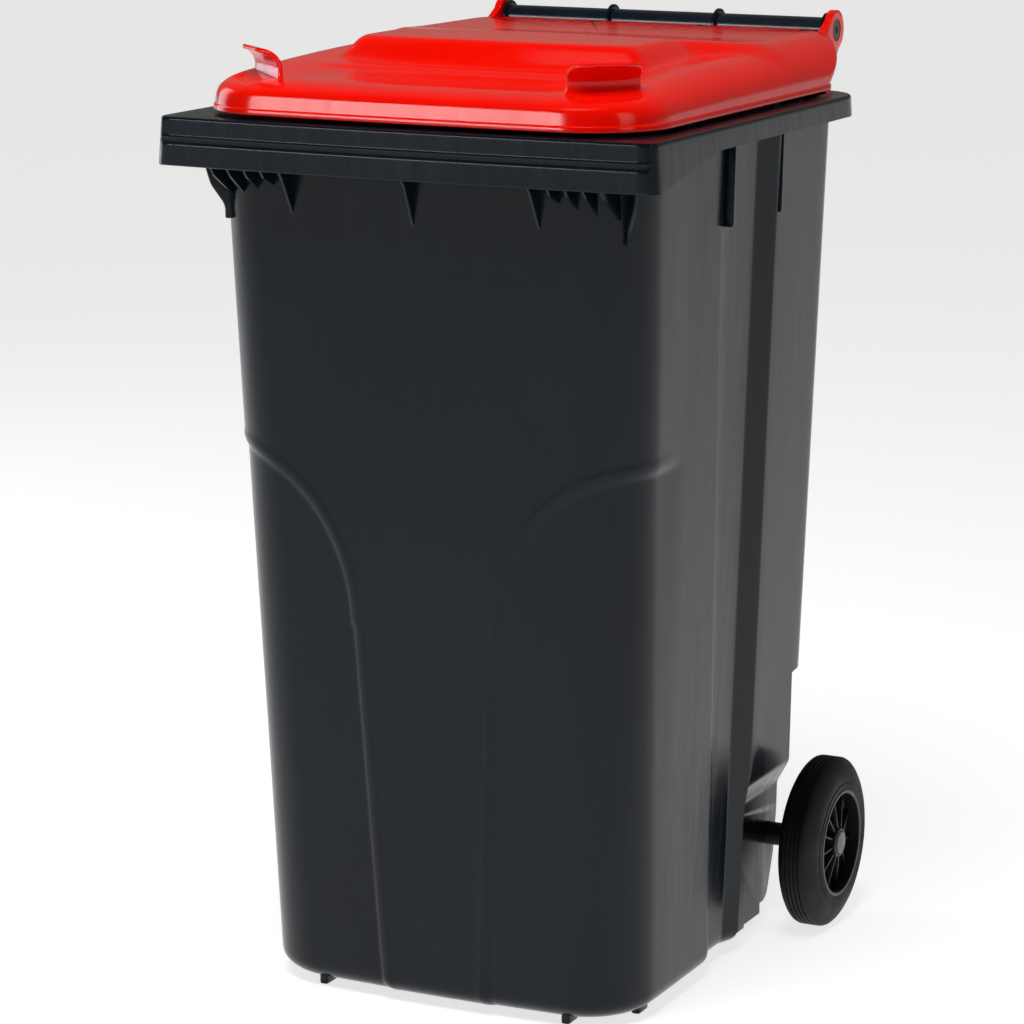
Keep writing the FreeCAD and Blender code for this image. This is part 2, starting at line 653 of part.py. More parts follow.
def make_axle():
    rod = cylinder(AXLE_RADIUS, 2 * AXLE_HALF_LENGTH, (-AXLE_HALF_LENGTH, AXLE_Y, WHEEL_RADIUS), X_AXIS)
    rod = rod.makeChamfer(AXLE_CHAMFER, [e for e in rod.Edges if len(e.Vertexes) == 1])
    for _, sign in SIDES:
        start = (sign * LOCK_X - LOCK_GROOVE_WIDTH / 2.0, AXLE_Y, WHEEL_RADIUS)
        collar = cylinder(AXLE_RADIUS + 2.0, LOCK_GROOVE_WIDTH, start, X_AXIS)
        core = cylinder(LOCK_GROOVE_RADIUS, LOCK_GROOVE_WIDTH, start, X_AXIS)
        rod = rod.cut(collar.cut(core))
    return rod


def make_axle_spacer(sign):
    inner_x = AXLE_CHEEK_X + AXLE_RIB_THICKNESS / 2.0
    start = (sign * inner_x, AXLE_Y, WHEEL_RADIUS)
    length = SPACER_OUTER_X - inner_x
    sleeve = cylinder(SPACER_RADIUS, length, start, X_AXIS * sign)
    return sleeve.cut(cylinder(AXLE_RADIUS, length, start, X_AXIS * sign))


def turned(profile):
    """Solid of revolution about the wheel's axis from points (x from the wheel's middle, radius)."""
    points = [V(WHEEL_CENTRE_X + x, AXLE_Y, WHEEL_RADIUS + r) for x, r in profile]
    face = Part.Face(Part.makePolygon(points + points[:1]))
    return face.revolve(V(0, AXLE_Y, WHEEL_RADIUS), X_AXIS, 360)


def make_tyre(sign):
    half = WHEEL_HALF_WIDTH
    tyre = turned([
        (-half + 1.0, RIM_RING_RADIUS), (half - 1.0, RIM_RING_RADIUS), (half - 1.0, RIM_RING_RADIUS + 5.0),
        (TREAD_HALF_WIDTH + 4.0, 92.0), (TREAD_HALF_WIDTH, WHEEL_RADIUS - 2.0),
        (TREAD_HALF_WIDTH - 3.0, WHEEL_RADIUS), (-TREAD_HALF_WIDTH + 3.0, WHEEL_RADIUS),
        (-TREAD_HALF_WIDTH, WHEEL_RADIUS - 2.0), (-TREAD_HALF_WIDTH - 4.0, 92.0),
        (-half + 1.0, RIM_RING_RADIUS + 5.0),
    ])
    half_groove = TREAD_GROOVE_WIDTH / 2.0
    floor = WHEEL_RADIUS - TREAD_GROOVE_DEPTH
    for x in TREAD_GROOVES:
        tyre = tyre.cut(turned([(x - half_groove, floor), (x + half_groove, floor),
                                (x + half_groove, WHEEL_RADIUS + 1.0), (x - half_groove, WHEEL_RADIUS + 1.0)]))
    return on_side(tyre, sign)


def lock_cylinder(radius, start, end):
    """Round bar along the lock pin's line, measured out from the axle's centre."""
    return cylinder(radius, end - start, (LOCK_X, AXLE_Y, WHEEL_RADIUS + start), Z_AXIS)


def spokes():
    blades = []
    for index in range(SPOKE_COUNT):
        blade = block((WHEEL_CENTRE_X - 12.0, AXLE_Y - SPOKE_HALF_THICKNESS, WHEEL_RADIUS + HUB_RADIUS - 2.0),
                      (WHEEL_CENTRE_X + 14.0, AXLE_Y + SPOKE_HALF_THICKNESS,
                       WHEEL_RADIUS + RIM_RING_INNER + 1.0))
        angle = 360.0 * index / SPOKE_COUNT
        blade.rotate(V(0, AXLE_Y, WHEEL_RADIUS), X_AXIS, angle)
        blades.append(blade)
    return blades


def make_wheel_rim(sign):
    half = WHEEL_HALF_WIDTH
    bore = AXLE_RADIUS + RUNNING_CLEARANCE
    ring = turned([(-half, RIM_RING_INNER), (half, RIM_RING_INNER), (half, RIM_RING_RADIUS),
                   (-half, RIM_RING_RADIUS)])
    web = turned([(-WEB_HALF, bore), (WEB_HALF, bore), (WEB_HALF, RIM_RING_INNER + 1.0),
                  (-WEB_HALF, RIM_RING_INNER + 1.0)])
    hub = turned([(-half, bore), (half - 2.0, bore), (half - 2.0, HUB_RADIUS), (-half, HUB_RADIUS)])
    tower = lock_cylinder(LOCK_TOWER_RADIUS, HUB_RADIUS - 3.0, LOCK_TOWER_END)
    wheel = fused([ring, web, hub, tower] + spokes())
    mouth = turned([(half - 2.0 - HUB_MOUTH, 0.0), (half, 0.0), (half, CAP_RADIUS),
                    (half - 2.0 - HUB_MOUTH, CAP_RADIUS)])
    pocket = lock_cylinder(LOCK_POCKET_RADIUS, 0.0, LOCK_POCKET_END)
    inside = turned([(-half - 1.0, 0.0), (half + 1.0, 0.0), (half + 1.0, bore), (-half - 1.0, bore)])
    return on_side(wheel.cut(Part.makeCompound([mouth, pocket])).cut(inside), sign)


def make_hub_cap(sign):
    face_x = WHEEL_HALF_WIDTH - 0.5
    cap = turned([(face_x - CAP_THICKNESS, 0.0), (face_x, 0.0), (face_x, CAP_RADIUS - 1.5),
                  (face_x - 1.5, CAP_RADIUS), (face_x - CAP_THICKNESS, CAP_RADIUS)])
    return on_side(cap, sign)


def make_lock_pin(sign):
    return on_side(lock_cylinder(LOCK_PIN_RADIUS, LOCK_TIP, LOCK_SHOULDER), sign)


def make_lock_spring(sign):
    length = LOCK_POCKET_END - LOCK_SHOULDER
    pitch = (length - 2 * SPRING_WIRE) / SPRING_TURNS
    helix = Part.makeHelix(pitch, length - 2 * SPRING_WIRE, SPRING_RADIUS)
    section = Part.Wire(Part.makeCircle(SPRING_WIRE, V(SPRING_RADIUS, 0, 0), V(0, 1, 0)))
    coil = Part.Wire(helix).makePipeShell([section], True, True)
    coil.translate(V(LOCK_X, AXLE_Y, WHEEL_RADIUS + LOCK_SHOULDER + SPRING_WIRE))
    return on_side(coil, sign)


def write(node, shape):
    os.makedirs("parts", exist_ok=True)
    shape.exportStep(os.path.join("parts", node + ".step"))
    print(node, "solids", len(shape.Solids), "volume", round(shape.Volume), "valid", shape.isValid())


SINGLE_PIECES = {
    "bin_body": make_bin_body,
    "chip_nest_plug": make_chip_nest_plug,
    "handle_bar": make_handle_bar,
    "axle": make_axle,
    "lid": make_lid,
    "lid_buffers": make_lid_buffers,
}
PAIRED_PIECES = {
    "hinge_pin": make_hinge_pin,
    "axle_spacer": make_axle_spacer,
    "tyre": make_tyre,
    "wheel_rim": make_wheel_rim,
    "hub_cap": make_hub_cap,
    "lock_pin": make_lock_pin,
    "lock_spring": make_lock_spring,
}

for name, make in SINGLE_PIECES.items():
    write(name, make())
for name, make in PAIRED_PIECES.items():
    for side, sign in SIDES:
        write(name + "_" + side, make(sign))
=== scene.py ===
"""Wheelie bin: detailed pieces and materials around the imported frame.

Blender works in metres; the sizes below are millimetres and MM turns them into metres.
"""

import json
import math

import bmesh
import bpy
import numpy as np
from mathutils import Matrix, Vector


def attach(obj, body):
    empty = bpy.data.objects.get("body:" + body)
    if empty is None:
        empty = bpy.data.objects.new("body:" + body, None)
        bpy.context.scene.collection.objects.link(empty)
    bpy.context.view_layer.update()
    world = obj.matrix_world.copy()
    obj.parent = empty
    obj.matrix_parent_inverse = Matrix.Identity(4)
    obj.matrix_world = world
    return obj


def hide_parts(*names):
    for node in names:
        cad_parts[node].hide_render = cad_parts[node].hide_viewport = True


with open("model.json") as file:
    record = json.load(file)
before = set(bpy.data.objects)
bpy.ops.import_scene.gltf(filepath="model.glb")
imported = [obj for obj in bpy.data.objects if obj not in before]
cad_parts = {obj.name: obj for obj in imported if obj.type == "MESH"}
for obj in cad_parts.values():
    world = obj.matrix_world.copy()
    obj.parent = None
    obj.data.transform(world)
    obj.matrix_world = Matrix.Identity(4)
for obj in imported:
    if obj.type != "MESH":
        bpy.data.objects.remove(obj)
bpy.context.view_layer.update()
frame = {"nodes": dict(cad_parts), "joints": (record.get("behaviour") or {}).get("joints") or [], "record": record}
MM = 0.001


def joint_origin(name):
    """Point in millimetres that a joint turns about."""
    joint = next(j for j in frame["joints"] if j["name"] == name)
    return np.array(joint["pos_m"], float) / MM


_, HINGE_Y, HINGE_Z = joint_origin("lid_hinge")
_, AXLE_Y, AXLE_Z = joint_origin("right_wheel_spin")

# Tub: pairs are the value at the bottom and at the top
TUB_BOTTOM = 8.0
TUB_TOP = 966.0
TAPER_TOP = 965.0
WALL = 4.0
FRONT_HALF = (227.0, 252.0)
REAR_HALF = (229.0, 259.0)
FRONT_Y = (-255.5, -312.0)
REAR_Y = (234.0, 246.0)
TUB_BOW = 7.6
FRONT_RADIUS = (77.0, 65.0)
REAR_RADIUS = 41.0
BASE_ROUND = 18.0
BASE_ROUND_TOP = 32.0
CHANNEL_FRONT = (-29.0, -78.0)
CHANNEL_REAR = (70.0, 64.0)
CHANNEL_RAMP = 34.0
CHANNEL_DEPTH = 13.0
MOULD_LINE_Z = 820.0

# Relief on the front: a raised centre panel between two arcs
ARC_CENTRE = (250.0, 430.0)
ARC_RADII = (165.0, 190.0)
ARC_LEG_FOOT = 60.0
ARC_LEG_SLOPE = 0.0535
RELIEF_DEPTH = 3.2
RELIEF_RAMP = 7.0
RELIEF_LIP = 0.9

# Rim
RIM_HALF = 290.0
RIM_TAPER = 4.0
RIM_FRONT = -353.0
RIM_BOW = 9.6
RIM_REAR = 254.0
RIM_TOP = 975.5
RIM_PLATE = 4.0
SKIRT_WALL = 6.5
FRONT_SKIRT_Z = 924.0
SIDE_SKIRT_Z = 952.0
SKIRT_RAMP = (-340.0, -182.0)
TIER_Z = 949.5
TIER_STEP = 3.0
TIER_ROUND = 4.0
COMB_PITCH = 22.0

# Lid
LID_EDGE_Z = 980.0
LID_HALF = (262.0, 221.0)
LID_REAR_HALF = (262.0, 207.0)
LID_FRONT = (-335.0, -292.0)
LID_REAR = (236.0, 300.0)
LID_FRONT_RADIUS = (88.0, 62.0)
LID_REAR_RADIUS = (34.0, 24.0)
LID_BOW = 7.6
LID_WALL = 3.0
DOME_TOP = 1051.5
NOTCH_X = (-196.0, -68.0, 68.0, 196.0)
HOOK_TURN = 42.0
HOOK_CENTRE = (202.0, -277.0)
RING_X = (-204.0, -68.0, 68.0, 204.0)
EAR_X = 212.0
EAR_HALF_THICKNESS = 4.0
EYE_RADIUS = 22.9

# Wheels
WHEEL_X = 270.0
SPOKES = 11


# Mesh building

def linked(name, mesh):
    obj = bpy.data.objects.new(name, mesh)
    bpy.context.scene.collection.objects.link(obj)
    return obj


def mesh_object(name, points, faces):
    """Closed mesh object from points in millimetres, with its faces turned outwards."""
    mesh = bpy.data.meshes.new(name)
    mesh.from_pydata((np.asarray(points, float) * MM).tolist(), [], faces)
    work = bmesh.new()
    work.from_mesh(mesh)
    bmesh.ops.remove_doubles(work, verts=work.verts, dist=1e-7)
    bmesh.ops.recalc_face_normals(work, faces=work.faces)
    work.to_mesh(mesh)
    work.free()
    return linked(name, mesh)


def ring_faces(rings, count):
    """Quads between neighbouring closed rings of count points each."""
    ring, column = np.meshgrid(np.arange(rings - 1), np.arange(count), indexing="ij")
    here = ring * count + column
    beside = ring * count + (column + 1) % count
    quads = np.stack([here, beside, beside + count, here + count], axis=-1)
    return quads.reshape(-1, 4).tolist()


def loft(name, rings):
    """Solid through closed rings, each an array of points, with flat ends."""
    rings = np.asarray(rings, float)
    levels, count = rings.shape[:2]
    faces = ring_faces(levels, count)
    faces.append(tuple(range(count))[::-1])
    faces.append(tuple(range((levels - 1) * count, levels * count)))
    return mesh_object(name, rings.reshape(-1, 3), faces)


def rounded_loop(corners, arc_steps=6, straight_steps=1):
    """Closed loop of 2-D points round corners (a, b, radius), in arcs and even straights.

    Either number of steps may be one value or a list with one for each corner.
    """
    count = len(corners)
    arcs = arc_steps if hasattr(arc_steps, "__len__") else [arc_steps] * count
    straights = straight_steps if hasattr(straight_steps, "__len__") else [straight_steps] * count
    pieces = []
    for index, (a, b, radius) in enumerate(corners):
        here = np.array((a, b), float)
        before = np.array(corners[index - 1][:2], float) - here
        after = np.array(corners[(index + 1) % count][:2], float) - here
        before = before / np.linalg.norm(before)
        after = after / np.linalg.norm(after)
        half = math.acos(np.clip(before @ after, -1.0, 1.0)) / 2.0
        if radius <= 0:
            pieces.append(here[None])
            continue
        reach = radius / math.tan(half)
        centre = here + (before + after) / np.linalg.norm(before + after) * radius / math.sin(half)
        start = here + before * reach - centre
        turn = np.linspace(0.0, 1.0, arcs[index] + 1) * (math.pi - 2.0 * half)
        cross = before[0] * after[1] - before[1] * after[0]
        turn = turn if cross < 0 else -turn
        swept = np.stack([start[0] * np.cos(turn) - start[1] * np.sin(turn),
                          start[0] * np.sin(turn) + start[1] * np.cos(turn)], axis=1)
        pieces.append(centre + swept)
    loop = []
    for index, piece in enumerate(pieces):
        loop.append(piece)
        following = pieces[(index + 1) % count][0]
        steps = np.linspace(0.0, 1.0, straights[index] + 1)[1:-1, None]
        loop.append(piece[-1] + (following - piece[-1]) * steps)
    return np.concatenate(loop)


def in_plan(z):
    """Map from plan coordinates (x, y) to space at height z."""
    return lambda loop: np.column_stack([loop, np.broadcast_to(z, len(loop))])


def from_side(x):
    """Map from side-view coordinates (y, z) to space at the given x."""
    return lambda loop: np.column_stack([np.full(len(loop), x), loop])


def from_front(y):
    """Map from front-view coordinates (x, z) to space at the given y."""
    return lambda loop: np.column_stack([loop[:, 0], np.full(len(loop), y), loop[:, 1]])


def prism(name, corners, place, offset, arc_steps=6):
    """Solid swept straight from a rounded outline."""
    base = place(rounded_loop(corners, arc_steps))
    return loft(name, [base, base + np.array(offset, float)])


def round_bar(name, radius, start, end, segments=48):
    """Round bar between two points."""
    start, end = np.array(start, float), np.array(end, float)
    along = (end - start) / np.linalg.norm(end - start)
    side = np.cross(along, (0.0, 0.0, 1.0) if abs(along[2]) < 0.9 else (1.0, 0.0, 0.0))
    side = side / np.linalg.norm(side)
    turn = np.linspace(0.0, 2.0 * math.pi, segments, endpoint=False)[:, None]
    circle = radius * (np.cos(turn) * side + np.sin(turn) * np.cross(along, side))
    return loft(name, [start + circle, end + circle])


def apply_modifiers(obj):
    depsgraph = bpy.context.evaluated_depsgraph_get()
    depsgraph.update()
    mesh = bpy.data.meshes.new_from_object(obj.evaluated_get(depsgraph))
    obj.modifiers.clear()
    old = obj.data
    obj.data = mesh
    bpy.data.meshes.remove(old)
    return obj


def combine(target, others, operation):
    """Union, difference or intersection of target with each other solid, which is used up."""
    for other in others:
        modifier = target.modifiers.new("combine", "BOOLEAN")
        modifier.operation = operation
        modifier.solver = "MANIFOLD"
        modifier.object = other
        apply_modifiers(target)
        bpy.data.meshes.remove(other.data)
    return target


def softened(obj, width, segments=2):
    """Rounds the sharp edges of a plain solid."""
    modifier = obj.modifiers.new("soften", "BEVEL")
    modifier.width = width * MM
    modifier.segments = segments
    modifier.limit_method = "ANGLE"
    modifier.angle_limit = math.radians(40)
    return apply_modifiers(obj)


def mirrored(obj):
    """Moves a solid to the other side of the middle as its mirror image."""
    obj.data.transform(Matrix.Scale(-1, 4, (1, 0, 0)))
    obj.data.flip_normals()
    return obj


def finish_surface(obj, material, angle=32.0):
    """Smooth shading that keeps sharp edges, and the piece's material."""
    obj.data.shade_smooth()
    obj.data.set_sharp_from_angle(angle=math.radians(angle))
    obj.data.materials.clear()
    obj.data.materials.append(material)
    return obj


def blend(pair, share):
    return pair[0] + (pair[1] - pair[0]) * share


def smooth(low, high, value):
    """Smooth rise from 0 at low to 1 at high."""
    t = np.clip((value - low) / (high - low), 0.0, 1.0)
    return t * t * (3.0 - 2.0 * t)


def outward(loop):
    """Unit normals of a closed plan loop that runs anticlockwise."""
    along = np.roll(loop, -1, axis=0) - np.roll(loop, 1, axis=0)
    normal = np.column_stack([along[:, 1], -along[:, 0]])
    return normal / np.linalg.norm(normal, axis=1)[:, None]


def both_sides(right_corners):
    """Anticlockwise corner list from its right half, given front to rear."""
    return right_corners + [(-x, y, r) for x, y, r in reversed(right_corners)]


# Tub

def tub_share(z):
    """How far up the tub's taper height z is, from 0 at the bottom to 1 at the top."""
    return (z - TUB_BOTTOM) / (TAPER_TOP - TUB_BOTTOM)


def tub_corners(share, inset):
    front_x = blend(FRONT_HALF, share) - inset
    rear_x = blend(REAR_HALF, share) - inset
    channel_x = rear_x - CHANNEL_DEPTH
    channel_front = blend(CHANNEL_FRONT, share) - inset
    channel_rear = blend(CHANNEL_REAR, share) + inset
    return both_sides([
        (front_x, blend(FRONT_Y, share) + inset, blend(FRONT_RADIUS, share) - inset),
        (front_x, channel_front, 4.0),
        (channel_x, channel_front + 5.0, 4.0),
        (channel_x, channel_rear - CHANNEL_RAMP, 14.0),
        (rear_x, channel_rear, 14.0),
        (rear_x, blend(REAR_Y, share) - inset, REAR_RADIUS - inset),
    ])


def tub_loop(z, inset, fine):
    """Plan loop of the tub at height z."""
    share = tub_share(z)
    half_arcs = [26, 3, 3, 5, 5, 14] if fine else [12, 2, 2, 3, 3, 8]
    arcs = half_arcs + half_arcs[::-1]
    straights = [26, 1, 3, 3, 8, 24, 8, 3, 3, 1, 26, 150] if fine else [1, 1, 1, 1, 1, 8, 1, 1, 1, 1, 1, 24]
    loop = rounded_loop(tub_corners(share, inset), arcs, straights)
    half = blend(FRONT_HALF, share) - inset
    bow = TUB_BOW * np.clip(1.0 - (loop[:, 0] / half) ** 2, 0.0, 1.0)
    loop[:, 1] -= np.where(loop[:, 1] < 0.0, bow, 0.0)
    return loop


def relief(loop, z):
    """How far the outer wall stands out at each point: a raised centre panel between two arcs."""
    x = np.abs(loop[:, 0])
    leg = x - (ARC_LEG_FOOT + (z - 16.0) * ARC_LEG_SLOPE)
    across = np.clip(ARC_CENTRE[0] - x, 0.0, None) / ARC_RADII[0]
    up = (z - ARC_CENTRE[1]) / ARC_RADII[1]
    past_arc = (1.0 - np.sqrt(across ** 2 + up ** 2)) * ARC_RADII[0]
    inside = leg if z < ARC_CENTRE[1] else past_arc
    recess = smooth(0.0, RELIEF_RAMP, inside)
    lip = RELIEF_LIP * np.exp(-((inside + 5.0) / 3.5) ** 2)
    on_front = 1.0 - smooth(-235.0, -150.0, loop[:, 1])
    mould_line = 0.06 * smooth(MOULD_LINE_Z - 1.5, MOULD_LINE_Z + 1.5, z)
    return (1.0 + lip - RELIEF_DEPTH * recess - mould_line) * on_front


def tub_levels():
    base = TUB_BOTTOM + (BASE_ROUND_TOP - TUB_BOTTOM) * np.linspace(0.0, 1.0, 10) ** 1.6
    relief_zone = np.arange(BASE_ROUND_TOP + 3.5, 650.0, 3.5)
    above = np.arange(662.0, TUB_TOP - 2.0, 14.0)
    line = MOULD_LINE_Z + np.array((-1.5, -0.5, 0.5, 1.5))
    return np.unique(np.concatenate([base, relief_zone, above, line, [TUB_TOP]]))


def tub_outside():
    rings = []
    for z in tub_levels():
        rise = np.clip((z - TUB_BOTTOM) / (BASE_ROUND_TOP - TUB_BOTTOM), 0.0, 1.0)
        loop = tub_loop(z, BASE_ROUND * (1.0 - rise) ** 3, True)
        loop = loop + outward(loop) * relief(loop, z)[:, None]
        rings.append(in_plan(z)(loop))
    return loft("tub_outside", rings)


def tub_cavity():
    rings = []
    for z in (TUB_BOTTOM + WALL, 14.0, 18.0, 24.0, 32.0, 300.0, 620.0, RIM_TOP + 6.0):
        rise = np.clip((z - TUB_BOTTOM - WALL) / (BASE_ROUND_TOP - TUB_BOTTOM), 0.0, 1.0)
        rings.append(in_plan(z)(tub_loop(z, WALL + BASE_ROUND * (1.0 - rise) ** 3, False)))
    return loft("tub_cavity", rings)


def wheel_housing(growth, sign):
    """Space for a wheel at the rear lower corner, grown for the inner wall."""
    rear = RIM_REAR + 60.0
    front_y = 61.0 - growth
    top = 308.0 + growth
    side = [(front_y, -20.0, 0), (rear, -20.0, 0), (rear, top, 0), (front_y, top, 150.0)]
    inner, inner_top = 203.0 - growth, 221.0 - growth
    outline = [(inner, -20.0, 0), (300.0, -20.0, 0), (300.0, 330.0, 0), (inner_top, 330.0, 0),
               (inner_top, 188.0, 15.0), (inner, 158.0, 15.0)]
    outline = [(sign * x, z, r) for x, z, r in outline]
    block = prism("housing", side, from_side(-310.0), (620.0, 0, 0), 32)
    shape = prism("housing_front", outline, from_front(front_y - 10.0), (0, 2 * rear, 0), 8)
    return combine(block, [shape], "INTERSECT")


def axle_tunnel(growth):
    corners = [(186.0 - growth, -20.0, 0), (RIM_REAR + 20.0, -20.0, 0),
               (RIM_REAR + 20.0, 126.0 + growth, 0), (186.0 - growth, 126.0 + growth, 22.0)]
    return prism("axle_tunnel", corners, from_side(-RIM_HALF), (2 * RIM_HALF, 0, 0), 8)


def recesses(growth):
    return [wheel_housing(growth, 1), wheel_housing(growth, -1), axle_tunnel(growth)]


def axle_ribs():
    rear, front, top = REAR_Y[0] + 1.0, 180.0, 129.0
    rib = [(front, 30.0, 8.0), (AXLE_Y - 4.0, 72.0, 24.0), (rear, 84.0, 18.0), (rear, top, 0),
           (front, top, 0)]
    cheek = [(front, 20.0, 0), (AXLE_Y - 6.0, 20.0, 18.0), (rear - 8.0, 75.0, 60.0), (rear, top, 0),
             (front, top, 0)]
    plates = [(x, rib) for x in (-100.0, 0.0, 100.0)] + [(-200.0, cheek), (200.0, cheek)]
    return [softened(prism("axle_rib", shape, from_side(x - 3.0), (6.0, 0, 0)), 0.8) for x, shape in plates]


def feet():
    nubs = []
    for x, y in ((149.0, -232.0), (204.0, -168.0), (194.0, 137.0)):
        for sign in (-1, 1):
            corners = [(sign * x - 5.0, y - 13.0, 3.0), (sign * x + 5.0, y - 13.0, 3.0),
                       (sign * x + 5.0, y + 13.0, 3.0), (sign * x - 5.0, y + 13.0, 3.0)]
            nubs.append(softened(prism("foot", corners, in_plan(0.0), (0, 0, 16.0), 3), 1.2))
    return nubs


# Rim

def rim_loop(z, inset):
    """Plan loop of the rim at height z."""
    half = RIM_HALF - RIM_TAPER * (z - FRONT_SKIRT_Z) / (RIM_TOP - FRONT_SKIRT_Z) - inset
    corners = both_sides([(half, RIM_FRONT + inset, 18.0 - inset), (half, RIM_REAR - inset, 57.0 - inset)])
    loop = rounded_loop(corners, [10, 14, 14, 10], [40, 24, 40, 260])
    bow = RIM_BOW * np.clip(1.0 - (loop[:, 0] / half) ** 2, 0.0, 1.0)
    loop[:, 1] -= np.where(loop[:, 1] < 0.0, bow, 0.0)
    return loop


def tier_profile(z):
    """How far the front of the skirt stands back at height z: the lower tier ends in a rounded ledge."""
    past = float(np.clip((z - TIER_Z + TIER_ROUND) / TIER_ROUND, 0.0, 1.0))
    ledge = TIER_STEP * (1.0 - math.sqrt(1.0 - past ** 2))
    lip = 0.9 * math.exp(-((z - TIER_Z - 5.0) / 1.1) ** 2)
    below = float(np.clip((FRONT_SKIRT_Z + 2.0 - z) / 2.0, 0.0, 1.0))
    return ledge - lip + 1.5 * (1.0 - math.sqrt(1.0 - below ** 2))


def rim_outside():
    levels = [FRONT_SKIRT_Z, 924.3, 924.8, 925.5, 926.5, 930.0, 934.0, 938.0, 942.0, 945.0]
    levels += list(np.arange(946.0, 958.0, 0.5)) + [960.0, 963.0, 966.0, 970.0]
    top_round = 3.0
    levels += [RIM_TOP - top_round * (1.0 - math.sin(a)) for a in np.linspace(0.0, math.pi / 2, 7)]
    rings = []
    for z in levels:
        above = max(0.0, z - (RIM_TOP - top_round)) / top_round
        inset = top_round * (1.0 - math.sqrt(max(0.0, 1.0 - above ** 2)))
        loop = rim_loop(z, inset)
        at_front = (1.0 - smooth(RIM_FRONT + 2.0, RIM_FRONT + 14.0, loop[:, 1]))
        at_front = at_front * (1.0 - smooth(RIM_HALF - 16.0, RIM_HALF - 6.0, np.abs(loop[:, 0])))
        from_rib = (loop[:, 0] + COMB_PITCH / 2.0) % COMB_PITCH - COMB_PITCH / 2.0
        sink = 0.10 * np.exp(-(from_rib / 3.2) ** 2)
        loop[:, 1] += at_front * (tier_profile(z) + sink)
        rings.append(in_plan(z)(loop))
    return loft("rim_outside", rings)


def below_skirt():
    """Everything under the lower edge of the skirt, which is deeper at the front."""
    corners = [(RIM_FRONT - 60.0, 800.0, 0), (RIM_REAR + 60.0, 800.0, 0), (RIM_REAR + 60.0, SIDE_SKIRT_Z, 0),
               (SKIRT_RAMP[1], SIDE_SKIRT_Z, 30.0), (SKIRT_RAMP[0], FRONT_SKIRT_Z, 12.0),
               (RIM_FRONT - 60.0, FRONT_SKIRT_Z, 0)]
    return prism("below_skirt", corners, from_side(-320.0), (640.0, 0, 0), 10)


def rim():
    hollow_levels = (FRONT_SKIRT_Z - 6.0, RIM_TOP - RIM_PLATE)
    hollow = loft("rim_hollow", [in_plan(z)(rim_loop(z, SKIRT_WALL)) for z in hollow_levels])
    return combine(rim_outside(), [hollow, below_skirt()], "DIFFERENCE")


def comb_ribs():
    """Ribs in the hollow of the front rim, where a lifting comb takes hold."""
    ribs = []
    for step in range(-11, 12):
        x = step * COMB_PITCH
        front = RIM_FRONT - RIM_BOW * (1.0 - (x / RIM_HALF) ** 2) + SKIRT_WALL - 1.0
        corners = [(front, 928.0, 4.0), (-305.0, 928.0, 0), (-305.0, RIM_TOP - 2.0, 0),
                   (front, RIM_TOP - 2.0, 0)]
        ribs.append(prism("comb_rib", corners, from_side(x - 1.25), (2.5, 0, 0), 3))
    return ribs


def front_wall_y(x, z):
    """Where the outside of the front wall lies, including its rounded corners."""
    share = tub_share(z)
    half, front, radius = blend(FRONT_HALF, share), blend(FRONT_Y, share), blend(FRONT_RADIUS, share)
    past = abs(x) - (half - radius)
    bow = TUB_BOW * (1.0 - (x / half) ** 2)
    return front - bow if past <= 0 else front - bow + radius - math.sqrt(radius ** 2 - past ** 2)


def gusset(x, tip_z):
    """Thin web from the rim's underside down to a tip on the front wall."""
    tip_y = front_wall_y(x, tip_z)
    top, reach = FRONT_SKIRT_Z + 4.0, RIM_FRONT + 6.0
    corners = [(reach, top, 0), (reach + 12.0, FRONT_SKIRT_Z - 10.0, 14.0), (tip_y - 1.0, tip_z, 0),
               (tip_y + 3.0, tip_z, 0), (front_wall_y(x, top) + 3.0, top, 0)]
    return softened(prism("gusset", corners, from_side(x - 1.5), (3.0, 0, 0)), 0.5)


def corner_web(sign):
    """Diagonal web under the rim at a front corner, ending in a short tab."""
    bottom = 863.0
    corners = [(-4.0, bottom, 0), (9.0, bottom, 2.0), (9.0, bottom + 14.0, 20.0), (25.0, 900.0, 30.0),
               (34.0, 930.0, 0), (-2.0, 930.0, 0)]
    web = softened(prism("corner_web", corners, from_front(-2.0), (0, 4.0, 0)), 0.6)
    share = tub_share(bottom)
    diagonal = blend(FRONT_RADIUS, share) * (1.0 - math.sqrt(0.5))
    corner = Vector((blend(FRONT_HALF, share) - diagonal, blend(FRONT_Y, share) + diagonal, 0)) * MM
    web.data.transform(Matrix.Translation(corner) @ Matrix.Rotation(math.radians(-45.0), 4, "Z"))
    return web if sign > 0 else mirrored(web)


def side_ribs():
    ribs = []
    for y in (-66.0, 73.0):
        for sign in (-1, 1):
            corners = [(sign * 242.0, 857.0, 0), (sign * 258.5, 857.0, 3.0), (sign * 260.0, 972.0, 0),
                       (sign * 242.0, 972.0, 0)]
            ribs.append(softened(prism("side_rib", corners, from_front(y - 2.0), (0, 4.0, 0)), 0.6))
    return ribs


def bar_brackets():
    """Four webs behind the rim, each with a ring round the handle bar."""
    corners = [(240.0, 898.0, 0), (266.0, 908.0, 20.0), (HINGE_Y + 2.0, HINGE_Z - 16.5, 6.0),
               (HINGE_Y - 6.0, HINGE_Z + 6.0, 3.0), (HINGE_Y - 16.0, HINGE_Z - 4.0, 10.0),
               (268.0, 967.5, 12.0), (240.0, 967.5, 0)]
    parts = []
    for x in RING_X:
        parts.append(softened(prism("bracket", corners, from_side(x - 2.0), (4.0, 0, 0)), 0.7))
        ring = round_bar("ring", 19.5, (x - 2.0, HINGE_Y, HINGE_Z), (x + 2.0, HINGE_Y, HINGE_Z), 64)
        parts.append(softened(ring, 0.8))
    return parts


